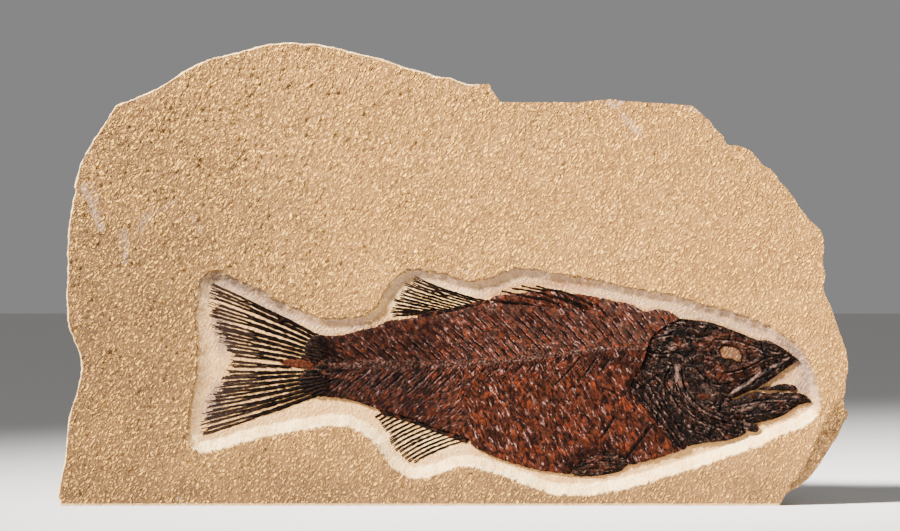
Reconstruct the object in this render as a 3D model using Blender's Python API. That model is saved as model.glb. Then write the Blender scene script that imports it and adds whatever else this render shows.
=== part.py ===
"""Fossil fish in its limestone slab, standing on a sawn base.

Plan points are (x, z) in millimetres on the slab's face: x to the right, z up from the base.
The face looks along -Y. Heights of the fossil's bones are in millimetres above the bed,
the floor of the recess that was cut down to the fish.
"""

import math

import bmesh
import bpy
import numpy as np
from mathutils import Vector, noise
from mathutils.geometry import delaunay_2d_cdt

MM = 0.001

# ---- driving dimensions, in millimetres ----
THICKNESS = 24.0  # of the stone, from the bedding face to the planed back
BED_DEPTH = 4.0  # of the recess below the bedding face
WALL_RUN = 4.5  # the recess wall slopes down over this distance, above the fish
LOWER_WALL_RUN = 1.6  # added to it below the fish, where the wall is less steep
TAIL_WALL_RUN = 2.6  # added to it behind the tail
BASE_CHAMFER = 1.2  # along the sawn base's front edge
BONE_GAP = 0.3  # left between a bone's back and the bed
SEAM = 0.2  # each bone is drawn in by this, so that neighbours stay apart
RAY_EDGE = 0.7  # height of a fin ray's edges above the bed
RAY_CREST = 0.45  # that the middle of a ray stands above its edges
RAY_WIDTH = 1.6  # of a tail ray; the other fins' rays are a little finer
VERTEBRA_PITCH = 7.0  # along the backbone
RIDGE = 0.5  # height of the spines and ribs that show through the scales

FACE_Y = -THICKNESS / 2
BACK_Y = THICKNESS / 2
BED_Y = FACE_Y + BED_DEPTH

# ---- the slab's outline, from the left end of the sawn base, up and over ----
LEFT_BREAK = [
    (-213.5, 0), (-215.5, 5), (-214, 13), (-212.5, 21), (-210.9, 30), (-210.2, 40),
    (-208.7, 50), (-205.5, 60), (-203.2, 70), (-203, 80), (-205.8, 88), (-208.8, 95),
    (-210.5, 108), (-210.2, 125), (-210, 140), (-209.4, 152), (-207.3, 165), (-205.7, 171),
    (-206, 175), (-203.2, 185), (-198.5, 195), (-192, 205), (-185.5, 215), (-182, 219),
]
TOP_BREAK = [
    (-175, 221.3), (-165, 225.7), (-156, 230), (-148, 236), (-140, 240.2), (-130, 244),
    (-120, 246.7), (-110, 249.3), (-100, 251.8), (-87, 252.5), (-73, 251.4), (-62, 249.5),
    (-52, 246.7), (-40, 244.2), (-30, 240.8), (-20, 237.6), (-8, 234.2), (-1, 233.5),
    (7, 230.2), (19.5, 229.7), (21, 227.5),
]
SAWN_STEP = [
    (21.2, 220.2), (35, 220), (52, 220), (68, 220), (76, 220.8), (85, 221.5), (92, 220.8),
    (104, 220), (116, 219.3), (131, 218),
]
RIGHT_BREAK = [
    (134, 214.5), (140.2, 209.8), (142, 206.5), (147, 202), (150, 196.8), (156, 196.3),
    (162, 193.4), (168, 187), (174, 183), (178, 177.5), (185, 169.3), (191, 160),
    (195, 155.2), (200.4, 149.8), (202.5, 142.5), (201.8, 131.5), (203.2, 125),
    (202.2, 119), (204.7, 111.4), (209, 101), (210.5, 95), (213, 89), (215.3, 79),
    (214, 65), (213.5, 55.5), (215.5, 50), (213.4, 44.7), (208.6, 34.8), (202.6, 26.1),
    (197.4, 17.9), (190.4, 11.4), (182.6, 6.6), (178, 0),
]
BASE_STEPS = 18  # points along the sawn base

# the face is smaller than the outline by this, left and right of x = 15
LEFT_FACE_INSET, RIGHT_FACE_INSET = 1.3, 0.5
# rings of the broken edge: (share of the thickness, how far inside the outline)
LEDGES = [(0.1, 0.35), (0.34, 0.1), (0.4, 0.75), (0.63, 0.15), (0.69, 0.9), (0.9, 0.5), (1, 1.1)]
RAGGED = 0.5  # how far the rings wander inwards

# ---- the recess: its rim, clockwise from the tail's lower corner ----
RIM = [
    (-138, 29.4), (-142.5, 34), (-144.4, 42), (-143.6, 51), (-141.2, 64), (-139.4, 76),
    (-139.8, 90), (-140.2, 104), (-139.3, 117), (-135.5, 125.6), (-129, 128.4),
    (-122, 126), (-113, 121.8), (-103, 116.8), (-92, 111), (-80, 105.8), (-71, 102.6),
    (-60, 102.2), (-50, 103.2), (-44.5, 106.3), (-40, 112.2), (-34, 121), (-28, 127),
    (-21, 129.2), (-12, 128), (-3, 126), (5, 123.4), (13, 122.9), (21, 124.6), (29, 128.2),
    (37, 129.6), (48, 128.2), (60, 126.2), (75, 123.8), (90, 120.4), (107, 117), (122, 114.8),
    (136, 110), (150, 106.4), (163, 102), (174, 97), (184.4, 90.2), (192, 83.2),
    (196.4, 74), (198.6, 65), (200.6, 57), (198.4, 49), (190.4, 43), (178, 38.6),
    (166.2, 32.6), (152.3, 27.8), (137, 22.3), (120, 17.2), (103, 11.8), (88, 8.2),
    (70, 6), (54, 7), (40, 11.8), (25, 17.4), (10, 22), (0, 20.8), (-9, 17.2), (-18, 15.3),
    (-26, 16.8), (-34, 23), (-42, 34), (-51, 40.8), (-61, 43.7), (-75, 43), (-88, 40.5),
    (-102, 38), (-114, 34.8), (-126, 31),
]
RIM_STEP = 6.5

# ---- the broken corner: the face falls away beyond this line ----
CHIP_LINE = [(214.5, 62), (208, 55.5), (203, 50), (200, 41), (196.5, 35), (193.5, 27),
             (190, 20), (185, 13.5), (181.5, 7), (180.5, 4)]
CHIP_FALL = 0.32  # millimetres down for each millimetre out

# ---- seams that two bones share ----
FLANK_TO_SHOULDER = [(124, 30.2), (119.5, 34), (113, 42), (107, 50), (101, 57), (97, 63)]
FLANK_TO_SKULL = [(99, 70), (103.5, 78), (106, 86), (109, 92.5), (116, 98), (123, 101.6)]
SHOULDER_TO_GILL = [(127.5, 33), (121.5, 44), (115.5, 51.5), (109, 58), (104, 65)]
GILL_TO_SKULL = [(102.5, 73), (108, 80), (115, 81), (120, 77.5)]
GILL_TO_CHEEK = [(121, 68), (124.5, 60), (130, 54), (138, 49), (148, 44.5), (159, 41)]
CHEEK_TO_SKULL = [(124.5, 76.5), (127.3, 69), (129.5, 63), (134, 57.5), (141, 52.5), (147, 49.5)]
SKULL_TO_UPPER_JAW = [(148, 58.5), (153, 63.5), (160, 68.6), (168, 73.6), (176, 77.6),
                      (183.5, 81.8)]
SKULL_TO_LOWER_JAW = [(147, 49.5), (145, 53), (148, 58.5)]
CHEEK_TO_LOWER_JAW = [(147, 49.5), (155, 46.2), (163, 44.8)]

# ---- the flank's edges that face the fins and the bed ----
TAIL_SEAM = [(-70, 91.8), (-68.5, 84), (-67.5, 76), (-68.5, 68), (-70, 60)]
BACK_LINE = [(-70, 91.8), (-60, 92.8), (-50, 95.6), (-42, 97.4), (-35, 100.6), (-24, 101.8),
             (-12, 103.4), (0, 105.6), (10, 108.2), (19.5, 110.4)]
CREST_LINE = [(21, 110.2), (34, 109.4), (48, 108.4), (62, 107.4), (76, 106.8)]
NAPE_LINE = [(80, 112.6), (90, 111), (97, 109.8), (104, 106), (112, 106.8), (118, 105.4)]
BELLY_LINE = [(117, 27.4), (106, 24.2), (98, 22.4)]
PELVIC_SEAM = [(95.5, 23), (91, 27.6), (84, 29.4), (76, 27.6), (69.5, 24), (65, 19)]
KEEL_LINE = [(64, 17.2), (55, 18), (45, 19.6), (36, 22), (27, 25), (18, 28.6), (10.5, 33)]
VENT_LINE = [(9, 36), (0, 39.4), (-12, 43.4), (-22, 47.4), (-32, 50.2), (-42, 52.8),
             (-52, 56.4), (-62, 58.6), (-70, 60)]

# ---- what stands up from the bones ----
BACKBONE = [(-66, 76.6), (-40, 76.6), (-15, 76.2), (10, 77.4), (35, 79.4), (60, 82.6),
            (82, 85.2), (100, 86)]
FLANK_RODS = [
    [(95, 26.5), (99, 31.5), (104.2, 38.3), (107.4, 43)],
    [(80, 64.6), (86, 62.4), (92, 59.4)],
    [(79.8, 37.2), (83.6, 42.6), (87, 48.7)],
]
SKULL_RIDGES = [
    [(112, 92), (121, 96), (132, 95.6), (144, 93), (156, 89), (168, 85.4), (179, 82.6)],
    [(112, 84.5), (122, 87), (132, 87), (141, 85)],
    [(134, 70), (144, 73), (156, 74.6), (166, 79)],
    [(128, 80), (136, 68), (143, 58)],
]
GILL_RIDGES = [
    [(119, 75), (111, 72), (106, 68)],
    [(119, 73), (114, 65), (111, 60)],
    [(120, 70), (119.5, 59), (118, 52)],
    [(122, 64), (127, 53.5), (137, 46), (150, 40)],
    [(124, 46), (131, 41), (141, 37)],
]

EYE_CENTRE = (151.6, 82.6)
EYE_RADII = (6.0, 4.4)
EYE_TURN = math.radians(-18)
EYE_SINK = 0.7  # the stone in the eye lies below the skull by this
EYE_GAP = 0.45  # between that stone and the skull round it


# =====================================================================================
# plan geometry
# =====================================================================================


def resampled(points, step, closed=False):
    """Points about step apart on a smooth curve through the given ones."""
    pts = np.array(points, float)
    count = len(pts)
    spans = count if closed else count - 1
    out = []
    for i in range(spans):
        p1, p2 = pts[i], pts[(i + 1) % count]
        p0 = pts[i - 1] if closed or i else 2 * p1 - p2
        p3 = pts[(i + 2) % count] if closed or i + 2 < count else 2 * p2 - p1
        parts = max(1, round(math.dist(p1, p2) / step))
        for t in np.arange(parts) / parts:
            out.append(
                0.5 * (2 * p1 + (p2 - p0) * t + (2 * p0 - 5 * p1 + 4 * p2 - p3) * t**2
                       + (3 * p1 - p0 - 3 * p2 + p3) * t**3)
            )
    if not closed:
        out.append(pts[-1])
    return np.array(out)


def counter_clockwise(loop):
    """The loop, turned round if it runs clockwise as the face is seen."""
    loop = np.array(loop, float)
    x, z = loop.T
    area = 0.5 * float(np.sum(x * np.roll(z, -1) - np.roll(x, -1) * z))
    return loop if area > 0 else loop[::-1]


def outward(loop):
    """The outward direction at each point of a counter-clockwise loop."""
    along = np.roll(loop, -1, axis=0) - loop
    along /= np.linalg.norm(along, axis=1)[:, None]
    normal = np.stack([along[:, 1], -along[:, 0]], axis=1)
    normal = normal + np.roll(normal, 1, axis=0)
    return normal / np.linalg.norm(normal, axis=1)[:, None]


def nearest(points, path, closed=False):
    """For each point: its offset from the path, the nearest span and the share along that."""
    points, path = np.atleast_2d(points), np.array(path, float)
    starts = path if closed else path[:-1]
    run = (np.roll(path, -1, axis=0) if closed else path[1:]) - starts
    offset = points[:, None, :] - starts[None, :, :]
    share = np.clip((offset * run).sum(2) / (run * run).sum(1), 0, 1)
    apart = offset - share[:, :, None] * run
    span = np.linalg.norm(apart, axis=2).argmin(axis=1)
    rows = np.arange(len(points))
    return apart[rows, span], span, share[rows, span]


def distance_to(points, path, closed=False):
    return np.linalg.norm(nearest(points, path, closed)[0], axis=1)


def right_of(points, line):
    """How far each point lies to the right of an open line, and below 0 on its left."""
    apart, span, _ = nearest(points, line)
    run = np.diff(np.array(line, float), axis=0)[span]
    return np.sign(run[:, 1] * apart[:, 0] - run[:, 0] * apart[:, 1]) * np.linalg.norm(apart, axis=1)


def inside_edges(points, starts, ends):
    """Which of the points the edges go round an odd number of times."""
    x, z = points[:, 0][:, None], points[:, 1][:, None]
    crosses = (starts[:, 1] > z) != (ends[:, 1] > z)
    rise = np.where(ends[:, 1] == starts[:, 1], 1.0, ends[:, 1] - starts[:, 1])
    at = starts[:, 0] + (z - starts[:, 1]) / rise * (ends[:, 0] - starts[:, 0])
    return (crosses & (x < at)).sum(axis=1) % 2 == 1


def inside(points, loop):
    loop = np.array(loop, float)
    return inside_edges(np.atleast_2d(points), loop, np.roll(loop, -1, axis=0))


def smooth_step(share):
    share = np.clip(share, 0, 1)
    return share * share * (3 - 2 * share)


def ridges(points, paths, half_width):
    """1 on the nearest of the paths, falling to 0 half_width away."""
    near = np.min([distance_to(points, path) for path in paths], axis=0)
    return 1 - smooth_step(near / half_width)


def spread_points(loop, spacing):
    """Evenly spread points inside a loop."""
    low, high = loop.min(axis=0), loop.max(axis=0)
    rows = np.arange(low[1] + spacing / 2, high[1], spacing * 0.87)
    spread = [
        (x, z)
        for row, z in enumerate(rows)
        for x in np.arange(low[0] + spacing * (0.3 + 0.5 * (row % 2)), high[0], spacing)
    ]
    spread = np.array(spread, float).reshape(-1, 2)
    return spread[inside(spread, loop)] if len(spread) else spread


def ripple(points, size, seed):
    """A smooth uneven value of about -1 to 1 at each point, for bumps of that size."""
    return np.array([noise.noise(Vector((x / size, z / size, seed * 7.3))) for x, z in points])


def ellipse(centre, radii, turn, count):
    """A counter-clockwise ellipse."""
    angles = np.arange(count) * 2 * math.pi / count
    u, v = radii[0] * np.cos(angles), radii[1] * np.sin(angles)
    return np.stack([
        centre[0] + u * math.cos(turn) - v * math.sin(turn),
        centre[1] + u * math.sin(turn) + v * math.cos(turn),
    ], axis=1)


def shut(loop):
    """The loop as a line that comes back to its start."""
    return np.concatenate([loop, loop[:1]])


def between(first, second, share):
    """The path a share of the way from one path to another with as many points."""
    return np.array(first, float) * (1 - share) + np.array(second, float) * share


def along_path(path, share):
    """The point at a share of a path's length."""
    path = np.array(path, float)
    lengths = np.concatenate([[0], np.cumsum(np.linalg.norm(np.diff(path, axis=0), axis=1))])
    return np.array([np.interp(share * lengths[-1], lengths, path[:, i]) for i in (0, 1)])


# =====================================================================================
# solids
# =====================================================================================


def surface_material(name, colour, roughness):
    material = bpy.data.materials.new(name)
    material.use_nodes = True
    shader = material.node_tree.nodes["Principled BSDF"]
    shader.inputs["Base Color"].default_value = (*colour, 1)
    shader.inputs["Roughness"].default_value = roughness
    shader.inputs["Metallic"].default_value = 0
    return material


def face_up(plan, triangle):
    """The triangle with its points counter-clockwise in plan."""
    a, b, c = (plan[i] for i in triangle)
    turn = (b[0] - a[0]) * (c[1] - a[1]) - (b[1] - a[1]) * (c[0] - a[0])
    return list(triangle) if turn > 0 else list(triangle)[::-1]


def triangulated(outlines, holes, lines, free_points):
    """Plan points and triangles of the outlines joined together, less the holes."""
    points, edges, faces = [], [], []
    for loop in outlines:
        faces.append(list(range(len(points), len(points) + len(loop))))
        points.extend(loop)
    for line in [shut(hole) for hole in holes] + list(lines):
        edges.extend((len(points) + i, len(points) + i + 1) for i in range(len(line) - 1))
        points.extend(line)
    points.extend(free_points)
    made = delaunay_2d_cdt([Vector(p) for p in points], edges, faces, 0, 1e-4, True)
    plan = np.array([tuple(v) for v in made[0]])
    kept = [t for t, origin in zip(made[2], made[5]) if origin]
    for hole in holes:
        hidden = inside(plan[np.array(kept)].mean(axis=1), hole)
        kept = [t for t, gone in zip(kept, hidden) if not gone]
    return plan, [face_up(plan, t) for t in kept]


def boundary_edges(triangles):
    """The edges that only one triangle uses, in that triangle's direction."""
    edges = {(t[i], t[(i + 1) % 3]) for t in triangles for i in range(3)}
    return sorted((a, b) for a, b in edges if (b, a) not in edges)


def plain_triangles(plan, edges):
    """As few triangles as fill what the edges go round, with no points but theirs."""
    used = sorted({point for edge in edges for point in edge})
    place = {point: i for i, point in enumerate(used)}
    lines = [(place[a], place[b]) for a, b in edges]
    made = delaunay_2d_cdt([Vector(plan[i]) for i in used], lines, [], 0, 1e-6, True)
    triangles = [[used[made[3][i][0]] for i in t] for t in made[2]]
    centres = plan[np.array(triangles)].mean(axis=1)
    a, b = np.array(edges).T
    filled = inside_edges(centres, plan[a], plan[b])
    return [face_up(plan, t) for t, keep in zip(triangles, filled) if keep]


def add_object(name, vertices_mm, faces, material):
    mesh = bpy.data.meshes.new(name)
    mesh.from_pydata([Vector(v) * MM for v in vertices_mm], [], faces)
    mesh.materials.append(material)
    obj = bpy.data.objects.new(name, mesh)
    bpy.context.scene.collection.objects.link(obj)
    shell = bmesh.new()
    shell.from_mesh(mesh)
    loose = [v for v in shell.verts if not v.link_faces]
    bmesh.ops.delete(shell, geom=loose, context="VERTS")
    shell.to_mesh(mesh)
    shell.free()
    return obj


def bone(name, outlines, height, material, spacing, holes=(), lines=()):
    """A closed plate over the bed. Height gives its top above the bed at plan points."""
    outlines = [counter_clockwise(loop) for loop in outlines]
    drawn_in = [loop - outward(loop) * SEAM for loop in outlines]
    fill = np.concatenate([spread_points(loop, spacing) for loop in drawn_in])
    fixed = [shut(loop) for loop in [*drawn_in, *holes]] + list(lines)
    clear = np.all([distance_to(fill, path) > spacing * 0.45 for path in fixed], axis=0)
    plan, triangles = triangulated(drawn_in, holes, lines, fill[clear])
    edges = boundary_edges(triangles)
    count = len(plan)
    vertices = [(x, y, z) for (x, z), y in zip(plan, BED_Y - height(plan))]
    vertices += [(x, BED_Y - BONE_GAP, z) for x, z in plan]
    faces = list(triangles)
    faces += [[i + count for i in reversed(t)] for t in plain_triangles(plan, edges)]
    faces += [[a, a + count, b + count, b] for a, b in edges]
    return add_object(name, vertices, faces, material)


# =====================================================================================
# the slab
# =====================================================================================


class Recess:
    """The hollow that was cut down to the fish."""

    def __init__(self):
        self.rim = counter_clockwise(resampled(RIM, RIM_STEP, closed=True))
        self.out = outward(self.rim)
        behind_tail = (self.rim[:, 0] < -118) * np.clip(-self.out[:, 0], 0, 1)
        self.run = WALL_RUN + TAIL_WALL_RUN * behind_tail
        self.run += LOWER_WALL_RUN * np.clip(-self.out[:, 1], 0, 1)

    def share(self, points):
        """0 on the bedding face, 1 on the bed, rising down the wall."""
        apart, span, along = nearest(points, self.rim, closed=True)
        run = self.run[span] * (1 - along) + np.roll(self.run, -1)[span] * along
        depth = smooth_step(np.linalg.norm(apart, axis=1) / run)
        return np.where(inside(points, self.rim), depth, 0.0)

    def contour(self, share):
        """Points a share of the way down the wall."""
        inset = self.run * share
        points = self.rim - self.out * inset[:, None]
        return points[distance_to(points, self.rim, closed=True) > inset * 0.88]


def slab_outline():
    """Counter-clockwise, the sawn base included."""
    left, right = LEFT_BREAK[0][0], RIGHT_BREAK[-1][0]
    base = [(x, 0) for x in np.linspace(right, left, BASE_STEPS + 2)[1:-1]]
    return counter_clockwise([*LEFT_BREAK, *TOP_BREAK, *SAWN_STEP, *RIGHT_BREAK, *base])


def face_depth(points, recess):
    """How far the front surface lies behind the bedding face."""
    share = recess.share(points)
    in_corner = (points[:, 0] > 176) & (points[:, 1] < 64)
    chip = np.clip(-right_of(points, CHIP_LINE), 0, None) * CHIP_FALL * in_corner
    return share * BED_DEPTH + chip + (1 - share) * 0.25 * ripple(points, 60, 1)


def build_slab(material):
    outline = slab_outline()
    on_base = outline[:, 1] < 0.01
    out = outward(outline)
    out[on_base] = (0, -1)
    inset = np.where(outline[:, 0] < 15, LEFT_FACE_INSET, RIGHT_FACE_INSET)
    inset[on_base] = BASE_CHAMFER
    face_loop = outline - out * inset[:, None]

    recess = Recess()
    eye_top = ellipse(EYE_CENTRE, EYE_RADII, EYE_TURN, 14)
    eye_foot = ellipse(EYE_CENTRE, [r + 0.15 for r in EYE_RADII], EYE_TURN, 14)
    open_face = spread_points(face_loop, 16)
    for path, clearance in ((shut(face_loop), 8), (shut(recess.rim), 8), (eye_top, 5),
                            (CHIP_LINE, 6)):
        open_face = open_face[distance_to(open_face, path) > clearance]
    free = np.concatenate([open_face, *(recess.contour(share) for share in (0.22, 0.75, 1))])
    lines = [shut(recess.rim), shut(eye_top), shut(eye_foot), np.array(CHIP_LINE[1:-1])]
    plan, triangles = triangulated([face_loop], [], lines, free)

    front_y = FACE_Y + face_depth(plan, recess)
    on_eye = inside(plan, ellipse(EYE_CENTRE, [r + 0.05 for r in EYE_RADII], EYE_TURN, 40))
    front_y[on_eye] = BED_Y - skull_height(plan[on_eye]) + EYE_SINK
    vertices = [(x, y, z) for (x, z), y in zip(plan, front_y)]
    faces = list(triangles)

    ring = [int(np.linalg.norm(plan - point, axis=1).argmin()) for point in face_loop]
    edge_y = front_y[ring]
    for number, (share, draw) in enumerate(LEDGES):
        draw = draw + RAGGED * np.abs(ripple(outline, 14, 10 + number))
        draw[on_base] = 0
        first = len(vertices)
        ys = (1 - share) * edge_y + share * BACK_Y
        vertices += [(x, y, z) for (x, z), y in zip(outline - out * draw[:, None], ys)]
        lower = list(range(first, first + len(outline)))
        for i in range(len(outline)):
            j = (i + 1) % len(outline)
            faces.append([ring[i], lower[i], lower[j], ring[j]])
        ring = lower
    faces.append(ring[::-1])
    return add_object("slab", vertices, faces, material)


# =====================================================================================
# the fish
# =====================================================================================


def flank_loop():
    return [*TAIL_SEAM[1:-1][::-1], *BACK_LINE, *CREST_LINE, *NAPE_LINE, *FLANK_TO_SKULL[::-1],
            *FLANK_TO_SHOULDER[::-1], *BELLY_LINE, *PELVIC_SEAM, *KEEL_LINE, *VENT_LINE]


def rib_paths():
    """Spines above the backbone and ribs below it, one pair for each vertebra."""
    column = resampled(BACKBONE, 2)
    length = np.linalg.norm(np.diff(column, axis=0), axis=1).sum()
    for number in range(int(length / VERTEBRA_PITCH)):
        share = (number + 0.5) * VERTEBRA_PITCH / length
        root = along_path(column, share)
        lean = math.radians(34 + 22 * share)
        for side, reach in ((1, 8 + 13 * share), (-1, 9 + 20 * math.sin(math.pi * share) ** 0.7)):
            away = np.array([-math.cos(lean), side * math.sin(lean)])
            path = root + (0, side * 3.2) + np.outer((0, reach / 2, reach), away)
            path[1, 1] += side * 0.6
            if (inside(path, flank_loop()) & (distance_to(path, flank_loop(), True) > 3)).all():
                yield path


def build_flank(material):
    column = resampled(BACKBONE, 7)
    ribs = list(rib_paths())
    lines = [column, column + (0, 2.6), column - (0, 2.6), *map(np.array, FLANK_RODS)]
    for path in ribs:
        run = path[-1] - path[0]
        foot = np.array([-run[1], run[0]]) / np.linalg.norm(run) * 0.9
        lines += [path, path + foot, path - foot]

    def height(points):
        edge = np.minimum(distance_to(points, flank_loop(), True) / 16, 1)
        body = 0.9 + 2.0 * np.sqrt(edge * (2 - edge)) + 0.22 * ripple(points, 6, 31)
        standing = RIDGE * np.maximum(ridges(points, ribs, 0.9), ridges(points, FLANK_RODS, 1.2))
        return body + standing + 0.55 * ridges(points, [column], 3.0)

    return bone("scaled_flank", [flank_loop()], height, material, 7, lines=lines)


def skull_loop():
    crown = [(130, 101.2), (140, 99.8), (149, 96.8), (158, 93.4), (166, 90.2), (171.6, 90),
             (178.6, 86.4), (184.4, 82.6)]
    return [*FLANK_TO_SKULL[1:], *crown, *SKULL_TO_UPPER_JAW[::-1],
            *SKULL_TO_LOWER_JAW[::-1][1:-1], *CHEEK_TO_SKULL[::-1], *GILL_TO_SKULL[::-1]]


def skull_height(points):
    from_edge = distance_to(points, skull_loop(), True)
    return 1.5 + 1.4 * smooth_step(from_edge / 9) + 0.35 * ripple(points, 6, 21)


def build_skull(material):
    radii = [r + 0.15 + EYE_GAP for r in EYE_RADII]
    socket = ellipse(EYE_CENTRE, radii, EYE_TURN, 18)
    brow = shut(ellipse(EYE_CENTRE, [r + 1.6 for r in radii], EYE_TURN, 18))

    def height(points):
        standing = np.maximum(ridges(points, SKULL_RIDGES, 2), ridges(points, [brow], 1.4))
        return skull_height(points) + 0.6 * standing

    lines = [brow, *map(np.array, SKULL_RIDGES)]
    return bone("skull", [skull_loop()], height, material, 4.4, holes=[socket], lines=lines)


def build_gill_cover(material):
    throat = [(158, 38.4), (150, 35.6), (140, 34.4), (131, 33)]
    loop = [*SHOULDER_TO_GILL, *GILL_TO_SKULL, *GILL_TO_CHEEK, *throat]

    def height(points):
        from_edge = distance_to(points, loop, True)
        return 1.4 + 1.2 * smooth_step(from_edge / 6) + 0.7 * ridges(points, GILL_RIDGES, 1.6)

    lines = list(map(np.array, GILL_RIDGES))
    return bone("gill_cover", [loop], height, material, 3.8, lines=lines)


def build_cheek_bone(material):
    loop = [*GILL_TO_CHEEK, (165.4, 39.9), (166.4, 43), *CHEEK_TO_LOWER_JAW[::-1][:-1],
            *CHEEK_TO_SKULL[::-1], GILL_TO_SKULL[-1]]
    crest = between(GILL_TO_CHEEK, CHEEK_TO_SKULL, 0.5)

    def height(points):
        return 2.1 + 1.0 * ridges(points, [crest], 3.4)

    return bone("cheek_bone", [loop], height, material, 4, lines=[crest[1:-1]])


def build_upper_jaw(material):
    bite = [(188.4, 79.3), (186.2, 77.6), (182, 74.9), (177.9, 71.8), (173.7, 68.7),
            (171, 66.9), (168, 65.1), (165.6, 63.2), (161, 62), (155.5, 59.4), (150.5, 57.8)]
    loop = [*SKULL_TO_UPPER_JAW, *bite]
    crest = np.array([(152, 60.4), (160, 66), (168, 71.2), (175, 75.2), (183, 79.6)])

    def height(points):
        return 1.5 + 1.3 * ridges(points, [crest], 3.4)

    return bone("upper_jaw", [loop], height, material, 4, lines=[crest])


def build_lower_jaw(material):
    teeth = [(154, 57.6), (160.5, 60.4), (166, 61.6), (172, 61.1), (178, 61.7), (184, 61.4),
             (188.5, 61.2), (192.3, 59.9), (194.4, 57.9), (195.2, 56)]
    chin = [(191.6, 55.6), (187.6, 54), (183.2, 51.1), (179.4, 48.8), (174.1, 46.9), (168, 45.5)]
    loop = [*SKULL_TO_LOWER_JAW, *teeth, *chin, *CHEEK_TO_LOWER_JAW[::-1][:-1]]
    crest = np.array([(150, 51.6), (160, 53.4), (170, 55.6), (180, 57.6), (190, 58.4)])

    def height(points):
        return 1.3 + 1.5 * ridges(points, [crest], 6)

    return bone("lower_jaw", [loop], height, material, 4.4, lines=[crest])


def build_tongue_bone(material):
    loop = [(166.8, 63.2), (170.3, 64.5), (174.1, 64.8), (177.1, 65.9), (181.7, 66.2),
            (186.4, 65.2), (187.4, 63.4), (186.2, 62.2), (181.7, 62.5), (177.1, 62.6), (172, 62.6)]

    def height(points):
        return 0.9 + 0.08 * distance_to(points, loop, True)

    return bone("tongue_bone", [loop], height, material, 4)


def build_shoulder(material):
    loop = [*FLANK_TO_SHOULDER, FLANK_TO_SKULL[0], GILL_TO_SKULL[0], *SHOULDER_TO_GILL[::-1]]
    rear, front = [(98.5, 65), (110, 50), (122.8, 32)], [(102.6, 68), (114, 53.4), (126.2, 34.4)]
    rods = [between(rear, front, share) for share in (0.1, 0.5, 0.9)]

    def height(points):
        return 1.7 + 1.0 * ridges(points, rods, 1.2)

    return bone("shoulder_bone", [loop], height, material, 3.4, lines=rods)


# ---- fins: each is a root band with the rays that grow from it ----


def fin_ray(root, tip, bend, width, fork):
    """A ray's outline and the crests along it. With a fork it parts in two towards its tip."""
    run = tip - root
    across = np.array([-run[1], run[0]]) / np.linalg.norm(run)
    bow = across * np.linalg.norm(run) * bend * 2

    def at(share, aside=0.0):
        return root + run * share + bow * share * (1 - share) + across * aside

    half, branch = width / 2, width * 0.28
    if not fork:
        stations = np.linspace(0, 1, 5)
        left = [at(t, half * (1 - 0.4 * t)) for t in stations]
        right = [at(t, -half * (1 - 0.4 * t)) for t in stations]
        return [*left, *right[::-1]], [np.array([at(t) for t in stations])]
    outline = [at(0, half), at(0.3, half * 0.9), at(0.58, half * 0.95)]
    outline += [at(0.8, fork / 4 + half * 0.55), at(1, fork / 2 + branch), at(1, fork / 2 - branch)]
    outline += [at(0.66)]
    outline += [at(1, branch - fork / 2), at(1, -branch - fork / 2), at(0.8, -fork / 4 - half * 0.55)]
    outline += [at(0.58, -half * 0.95), at(0.3, -half * 0.9), at(0, -half)]
    crests = [np.array([at(0), at(0.3), at(0.58)])]
    crests += [np.array([at(0.58), at(0.8, side * fork / 4), at(1, side * fork / 2)])
               for side in (1, -1)]
    return outline, crests


def build_fin(name, material, band, roots, tips, count, bends, width, fork=0.0, band_height=0.4):
    """Rays from points spread along roots to points spread along tips, and a band at the root."""
    rays = [
        fin_ray(along_path(roots, share), along_path(tips, share),
                bends[0] + (bends[1] - bends[0]) * share, width + SEAM * 2, fork)
        for share in np.linspace(0, 1, count)
    ]
    crests = [crest for _, ray_crests in rays for crest in ray_crests]
    band = counter_clockwise(band)

    def height(points):
        on_band = inside(points, band) | (distance_to(points, band, True) < SEAM * 2)
        crest = np.clip(1 - np.min([distance_to(points, c) for c in crests], axis=0), 0, 1)
        return RAY_EDGE + RAY_CREST * crest + band_height * on_band

    outlines = [band, *(outline for outline, _ in rays)]
    return bone(name, outlines, height, material, 5, lines=crests)


def build_tail(material):
    roots = [(-75.5, 91), (-76.5, 87.4), (-78.6, 84.4), (-81, 81.2), (-82.2, 77), (-82.2, 73),
             (-81.6, 69), (-79.6, 64.6), (-75.5, 60.8)]
    tips = [(-131.8, 119.5), (-131, 112), (-130, 104), (-127.6, 96), (-124, 89), (-119.8, 82),
            (-119.6, 76), (-122.6, 70), (-127, 64), (-130.6, 56), (-133.6, 48), (-134.3, 40.4)]
    band = [*TAIL_SEAM[::-1], (-76, 93), *[(x - 1.2, z) for x, z in roots[1:-1]], (-76, 59.6)]
    build_fin("tail_fin", material, band, roots, tips, 19, (-0.035, 0.03), RAY_WIDTH, fork=2.3)


def build_rear_dorsal(material):
    roots = [(17.5, 111.6), (8, 109.4), (-1, 107), (-10, 105.4), (-17, 104)]
    tips = [(-18.8, 123.4), (-24, 120.4), (-28, 116.6), (-31, 111.4), (-33.2, 107), (-32.5, 103.4)]
    band = [(19.8, 111.2), (18.5, 112.6), (8, 110.8), (-1, 108.4), (-12, 106.2), (-19, 104.4),
            (-18, 103.1), (-12, 104.1), (0, 106.3), (10, 108.9)]
    build_fin("rear_dorsal_fin", material, band, roots, tips, 12, (0.05, -0.02), 1.0)


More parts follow.
